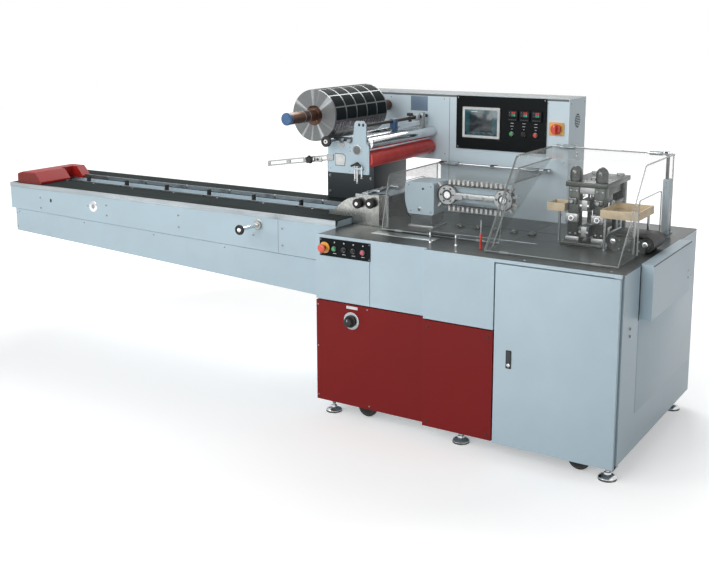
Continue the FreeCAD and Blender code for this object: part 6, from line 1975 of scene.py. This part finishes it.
@dataclass
class Discharge(SubAssembly):
    """The product trays on their stands and the short belt at the end of the deck."""

    deck: float = 860.0
    belt_ends: Pair = (1254.0, 1390.0)
    belt_z: float = 900.0
    radius: float = 34.0
    front: float = 380.0
    wide: float = 150.0

    def tray(self, form: Drawn, lo: Pair, hi: Pair) -> None:
        """Adds an open tray: a floor and four mitred-looking walls."""
        low, high, wall = 1000.0, 1035.0, 8.0
        form.bar((lo[0] + 0.4, lo[1] + 0.4, low), (hi[0] - 0.4, hi[1] - 0.4, low + wall), BEIGE, 1.2)
        for y in (lo[1], hi[1] - wall):
            form.bar((lo[0], y, low), (hi[0], y + wall, high), BEIGE, 1.4)
        for x in (lo[0], hi[0] - wall):
            form.bar((x, lo[1] + 1, low), (x + wall, hi[1] - 1, high), BEIGE, 1.4)

    def build(self) -> None:
        """Makes the trays, the belt and its frame."""
        trays = Drawn("product_trays_on_stands")
        self.tray(trays, (944, 403), (1025, 503))
        self.tray(trays, (1203, 345), (1365, 560))
        stands = [(984.5, 453)] + [(x, y) for x in (1221, 1347) for y in (357, 548)]
        for x, y in stands:
            trays.pin((x, y, self.deck), (x, y, 1001), 5.8, SCREW)
            trays.spun((x, y, self.deck), UP, ((0, 5.9), (5, 5.9), (6, 5.4)), SCREW)
        trays.seat(FIXED, "product_trays")

        left, right = self.belt_ends
        outline = []
        for centre, start in ((right, 90), (left, 270)):
            outline += [(math.radians(start - 10 * i), centre) for i in range(19)]
        belt = Drawn("discharge_belt_loop")
        for (turn, centre), (next_turn, next_centre) in zip(outline, outline[1:] + outline[:1]):
            ring = []
            for angle, middle, radius in ((turn, centre, self.radius), (next_turn, next_centre, self.radius),
                                          (next_turn, next_centre, self.radius - 5.8),
                                          (turn, centre, self.radius - 5.8)):
                ring.append((middle + radius * math.cos(angle), self.belt_z + radius * math.sin(angle)))
            belt.plate(ring, Axis.Y, (self.front, self.front + self.wide), RUBBER, 0)
        for i in range(17):
            x = left + 2 + i * 8.2
            belt.bar((x, self.front + 2, self.belt_z + self.radius - 0.6),
                     (x + 3, self.front + self.wide - 2, self.belt_z + self.radius + 0.7), RUBBER, 0.2)
        belt.seat(FIXED, "discharge_belt")

        frame = Drawn("discharge_belt_frame")
        cheek = rounded_rectangle((left - 4, self.deck), (right + 4, 922), 12)
        for y in (374, 531):
            frame.plate(cheek, Axis.Y, (y, y + 5), GUNMETAL, 1.2)
        for x in self.belt_ends:
            frame.spun((x, self.front - 2, self.belt_z), -OUT,
                       ((0, 26), (2, 27.4), (self.wide + 2, 27.4), (self.wide + 4, 26)), GUNMETAL)
            frame.spun((x, 374, self.belt_z), OUT, ((0, 12), (4, 12), (5, 10)), CHROME)
            frame.bolt((x, 369, self.belt_z), OUT, 5, hexagon=True)
        frame.bar((left + 20, 382, self.deck), (right - 20, 528, 866), GUNMETAL, 1.0)
        frame.seat(FIXED, "discharge_frame")

    def dress(self) -> None:
        """Adds the cheek's bolts and a slide plate towards the belt."""
        bits = Drawn("discharge_fittings")
        for x in (1280, 1322, 1364):
            for z in (872, 910):
                bits.bolt((x, 374, z), OUT, 3.2)
        bits.plate(((1216, 880), (1222, 930), (1236, 936), (1240, 934), (1226, 927), (1221, 880)), Axis.Y,
                   (388, 522), TRIM, 0.4)
        bits.bar((1214, 388, 860), (1223, 522, 884), MACHINED, 1.0)
        bits.seat(FIXED)


@dataclass(frozen=True)
class GuardShape:
    """The sizes of one bent clear guard."""

    node: str
    left: float
    right: float
    foot: float
    front: float
    top: float
    rod_y: float
    end: float
    door: tuple[float, float, float]


@dataclass
class Guards(SubAssembly):
    """The two hinged clear guards, with the rods and brackets that they turn on."""

    low: float = 865.0
    sheet: float = 6.0
    bend: float = 26.0
    strip: float = 60.0
    shapes: tuple[GuardShape, ...] = (
        GuardShape("left_guard", 205.0, 797.0, 237.0, 300.0, 1112.0, 790.0, 205.0, (290.0, 640.0, 1060.0)),
        GuardShape("right_guard", 803.0, 1378.0, 75.0, 380.0, 1232.0, 800.0, 1372.0, (320.0, 620.0, 1090.0)),
    )

    def path(self, shape: GuardShape, inset: float = 0.0) -> list[Pair]:
        """The guard's outer line from its rear edge over the bend to its foot, as (y, z)."""
        rear = shape.rod_y - 16
        slope = (shape.front - shape.foot) / (shape.top - self.low)
        top = shape.top - inset
        shift = inset * math.sqrt(1 + slope ** 2)
        corners = ((rear, top), (shape.front + shift - inset * slope, top), (shape.foot + shift, self.low))
        return rounded_path(corners, self.bend - inset * 0.5, 9)

    def make_guard(self, shape: GuardShape) -> None:
        """One guard: the bent sheet, its end with a doorway, its polished edges and its knuckles."""
        guard = Drawn(f"{shape.node}_bent_sheet")
        outer = self.path(shape)
        guard.plate(ribbon(outer, self.sheet), Axis.X, (shape.left + 3, shape.right - 3), CLEAR, 0)
        for x in (shape.left, shape.right - 3):
            guard.plate(ribbon(outer, self.sheet), Axis.X, (x, x + 3), CLEAR_EDGE, 0)
        rear, (door_front, door_rear, door_top) = shape.rod_y - 16, shape.door
        inner = self.path(shape, self.sheet)
        arch = rounded_path(((door_rear, self.low), (door_rear, door_top), (door_front, door_top),
                             (door_front, self.low)), 18, 5)
        end = [(rear, self.low), (rear, shape.top - self.sheet)] + inner[1:] + list(reversed(arch))
        guard.plate(end, Axis.X, (shape.end + 0.5, shape.end + self.sheet - 0.5), CLEAR, 0)
        rim = ribbon(arch, -2.5)
        guard.plate(rim, Axis.X, (shape.end, shape.end + self.sheet), CLEAR_EDGE, 0)
        guard.bar((shape.end, rear - 3, self.low), (shape.end + self.sheet, rear, shape.top - self.sheet),
                  CLEAR_EDGE, 0)
        guard.bar((shape.left + 3, shape.foot + 0.3, self.low),
                  (shape.right - 3, shape.foot + self.sheet + 0.4, self.low + 3), CLEAR_EDGE, 0)
        guard.bar((shape.left + 3, rear - 3, shape.top - self.sheet - 0.2),
                  (shape.right - 3, rear + 0.2, shape.top + 0.2), CLEAR_EDGE, 0)
        z = shape.top - self.sheet / 2
        for start in (shape.left + 55, shape.right - 115):
            knuckle = ((0, 6.5), (0, 10), (1, 10.9), (59, 10.9), (60, 10), (60, 6.5), (0, 6.5))
            guard.spun((start, shape.rod_y, z), RIGHT, knuckle, TRIM)
            guard.bar((start, rear - 28, shape.top - 0.4), (start + 60, shape.rod_y - 8, shape.top + 2), TRIM,
                      0.8)
            for x in (start + 14, start + 46):
                guard.bolt((x, rear - 16, shape.top + 2), UP, 4)
        if shape.node == "right_guard":
            self.make_strip(guard, shape)
        guard.seat(shape.node, shape.node)

    def make_strip(self, guard: Drawn, shape: GuardShape) -> None:
        """The folded edge at the right guard's left end: a strip behind the bend and its two bright lines."""
        near, far = self.path(shape, self.sheet), self.path(shape, self.strip)
        span = (shape.left + 0.5, shape.left + self.sheet - 0.5)
        guard.plate(near + list(reversed(far)), Axis.X, span, CLEAR, 0)
        guard.plate(ribbon(far, -3), Axis.X, (shape.left, shape.left + self.sheet), CLEAR_EDGE, 0)
        guard.plate(ribbon(self.path(shape, self.sheet), 2.5), Axis.X, (shape.left, shape.left + self.sheet),
                    CLEAR_EDGE, 0)

    def build(self) -> None:
        """Makes both guards and the rails."""
        for shape in self.shapes:
            self.make_guard(shape)
        left, right = self.shapes
        rails = Drawn("guard_rods_and_brackets")
        for shape in self.shapes:
            z = shape.top - self.sheet / 2
            rails.pin((shape.left + 0.5, shape.rod_y, z), (shape.right - 0.5, shape.rod_y, z), 5.8, CHROME)
        z = left.top - 3
        for start in (215, 491, 767):
            rails.bar((start, 790, z - 5), (start + 20, 825, z + 5), GREY, 1.5)
            rails.spun((start + 1, 790, z), RIGHT, ((0, 6.2), (0, 9.5), (18, 9.5), (18, 6.2), (0, 6.2)), GREY,
                       20)
        z = right.top - 3
        rails.bar((813, 800, z - 5), (833, 825, z + 5), GREY, 1.5)
        rails.bar((1330, 800, z - 5), (1344, 836, z + 5), GUNMETAL, 1.5)
        rails.bar((1330, 828, 1090), (1344, 836, z + 5), GUNMETAL, 1.5)
        rails.spun((1331, 800, z), RIGHT, ((0, 6.2), (0, 9.5), (12, 9.5), (12, 6.2), (0, 6.2)), GUNMETAL, 20)
        rails.bar((1322, 820, 860), (1352, 862, 1111), WHITE, 4.0)
        rails.seat(FIXED, "guard_hinge_rails")

    def dress(self) -> None:
        """Adds the post's foot, its screws and the grip on each guard's lower edge."""
        post = Drawn("guard_post_fittings")
        post.bar((1312, 812, 860), (1362, 870, 866), TRIM, 1.0)
        for x, y in ((1317, 818), (1357, 818), (1317, 864), (1357, 864)):
            post.bolt((x, y, 866), UP, 3.6)
        for z in (1096, 1076):
            post.bolt((1337, 820, z), OUT, 3.6)
        post.seat(FIXED)
        for shape in self.shapes:
            grip = Drawn(f"{shape.node}_edge_pads")
            for x in (shape.left + 70, shape.right - 110):
                grip.bar((x, shape.foot - 0.5, self.low - 3.5), (x + 40, shape.foot + 7, self.low + 6),
                         CLEAR_EDGE, 0.8)
            grip.seat(shape.node)


SUB_ASSEMBLIES: tuple[type[SubAssembly], ...] = (
    Cabinet, Castors, Infeed, RearHousing, Controls, Unwinder, DeckUnits, Jaws, Discharge, Guards,
)




# ---------------------------------------------------------------- studio


@dataclass(frozen=True)
class Lamp:
    """A soft rectangular lamp that faces a point."""

    name: str
    place: Point
    target: Point
    size: float
    watts: float
    colour: Colour = (1.0, 1.0, 1.0)

    def light(self) -> None:
        """Adds the lamp."""
        data = bpy.data.lights.new(self.name, "AREA")
        data.shape = "SQUARE"
        data.size = self.size
        data.energy = self.watts
        data.color = self.colour
        lamp = bpy.data.objects.new(self.name, data)
        lamp.location = self.place
        lamp.rotation_euler = (Vector(self.target) - Vector(self.place)).to_track_quat("-Z", "Y").to_euler()
        bpy.context.scene.collection.objects.link(lamp)


@dataclass(frozen=True)
class Studio:
    """A pale floor, soft lamps, a pale world and the camera."""

    floor_half: float = 14.0
    floor_albedo: float = 0.86
    near_glow: float = 0.35
    shade_near: float = 1.7
    shade_far: float = 3.6
    world_strength: float = 0.24
    camera_place: Point = (3.033, -4.292, 1.834)
    azimuth: float = 32.571
    pitch: float = 10.704
    roll: float = -0.213
    lens: float = 52.95
    shift_up: float = -0.1

    def floor(self) -> None:
        """The floor: pale for light, white for the camera away from the object's shadow."""
        solid = bmesh.new()
        bmesh.ops.create_grid(solid, x_segments=1, y_segments=1, size=self.floor_half)
        data = bpy.data.meshes.new("studio_floor")
        solid.to_mesh(data)
        solid.free()
        made = bpy.data.materials.new("studio_floor_paper")
        made.use_nodes = True
        wiring = Wiring(made.node_tree)
        shader = made.node_tree.nodes["Principled BSDF"]
        grade = self.floor_albedo
        shader.inputs["Base Color"].default_value = (grade, grade, grade, 1.0)
        shader.inputs["Roughness"].default_value = 0.95
        shader.inputs["Specular IOR Level"].default_value = 0.0
        place = wiring.add("TexCoord").outputs["Object"]
        away = wiring.add("VectorMath", {0: place}, operation="LENGTH").outputs["Value"]
        glow = wiring.ramp(away, self.shade_near, self.shade_far, self.near_glow, 1.0)
        wiring.tree.links.new(wiring.maths("MULTIPLY", self.seen(wiring, 1.0), glow),
                              shader.inputs["Emission Strength"])
        shader.inputs["Emission Color"].default_value = (1.0, 1.0, 1.0, 1.0)
        data.materials.append(made)
        floor = bpy.data.objects.new("studio_floor", data)
        bpy.context.scene.collection.objects.link(floor)
        floor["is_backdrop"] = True

    @staticmethod
    def seen(wiring: Wiring, strength: float) -> Socket:
        """A strength for what the camera, metal and glass see, and nothing for what lights the object."""
        path = wiring.add("LightPath").outputs
        sharp = wiring.maths("MAXIMUM", path["Is Glossy Ray"], path["Is Transmission Ray"])
        return wiring.maths("MULTIPLY", wiring.maths("MAXIMUM", path["Is Camera Ray"], sharp), strength)

    def world(self) -> None:
        """An even pale sky that the camera, metal and glass see as white."""
        world = bpy.data.worlds.new("studio_world")
        world.use_nodes = True
        wiring = Wiring(world.node_tree)
        background = world.node_tree.nodes["Background"]
        background.inputs["Color"].default_value = (1.0, 1.0, 1.0, 1.0)
        extra = self.seen(wiring, 1.0 - self.world_strength)
        wiring.tree.links.new(wiring.maths("ADD", extra, self.world_strength), background.inputs["Strength"])
        bpy.context.scene.world = world

    def camera(self) -> None:
        """The camera, turned by its azimuth, pitch and roll."""
        data = bpy.data.cameras.new("camera")
        data.lens = self.lens
        data.sensor_width = 36.0
        data.shift_y = self.shift_up
        data.clip_end = 100.0
        camera = bpy.data.objects.new("camera", data)
        azimuth, pitch = math.radians(self.azimuth), math.radians(self.pitch)
        ahead = Vector((-math.sin(azimuth) * math.cos(pitch), math.cos(azimuth) * math.cos(pitch),
                        -math.sin(pitch)))
        turn = ahead.to_track_quat("-Z", "Y").to_matrix() @ Matrix.Rotation(math.radians(self.roll), 3, "Z")
        camera.matrix_world = Matrix.Translation(Vector(self.camera_place)) @ turn.to_4x4()
        bpy.context.scene.collection.objects.link(camera)
        bpy.context.scene.camera = camera

    def build(self) -> None:
        """Sets up the whole studio."""
        self.floor()
        self.world()
        self.camera()
        lamps = (
            Lamp("lamp_front_left", (-2.6, -4.4, 3.4), (0.2, 0.0, 0.7), 3.0, 105.0),
            Lamp("lamp_front", (0.7, -5.2, 2.8), (0.7, 0.0, 0.8), 2.6, 110.0),
            Lamp("lamp_right", (5.2, -1.0, 3.0), (1.0, 0.0, 0.6), 2.6, 12.0),
            Lamp("lamp_top_rear", (-0.5, 3.2, 4.2), (0.3, 0.2, 0.9), 3.0, 130.0),
        )
        for lamp in lamps:
            lamp.light()
        bpy.context.scene.view_settings.view_transform = "Standard"


def main() -> None:
    """Builds the machine's sub-assemblies in order, then the studio."""
    logging.basicConfig(level=logging.INFO, format="%(name)s: %(message)s")
    frame = Frame()
    for kind in SUB_ASSEMBLIES:
        part = kind(frame)
        part.build()
        part.dress()
        LOG.info("%s done", kind.__name__)
    Studio().build()


if __name__ == "__main__":
    main()
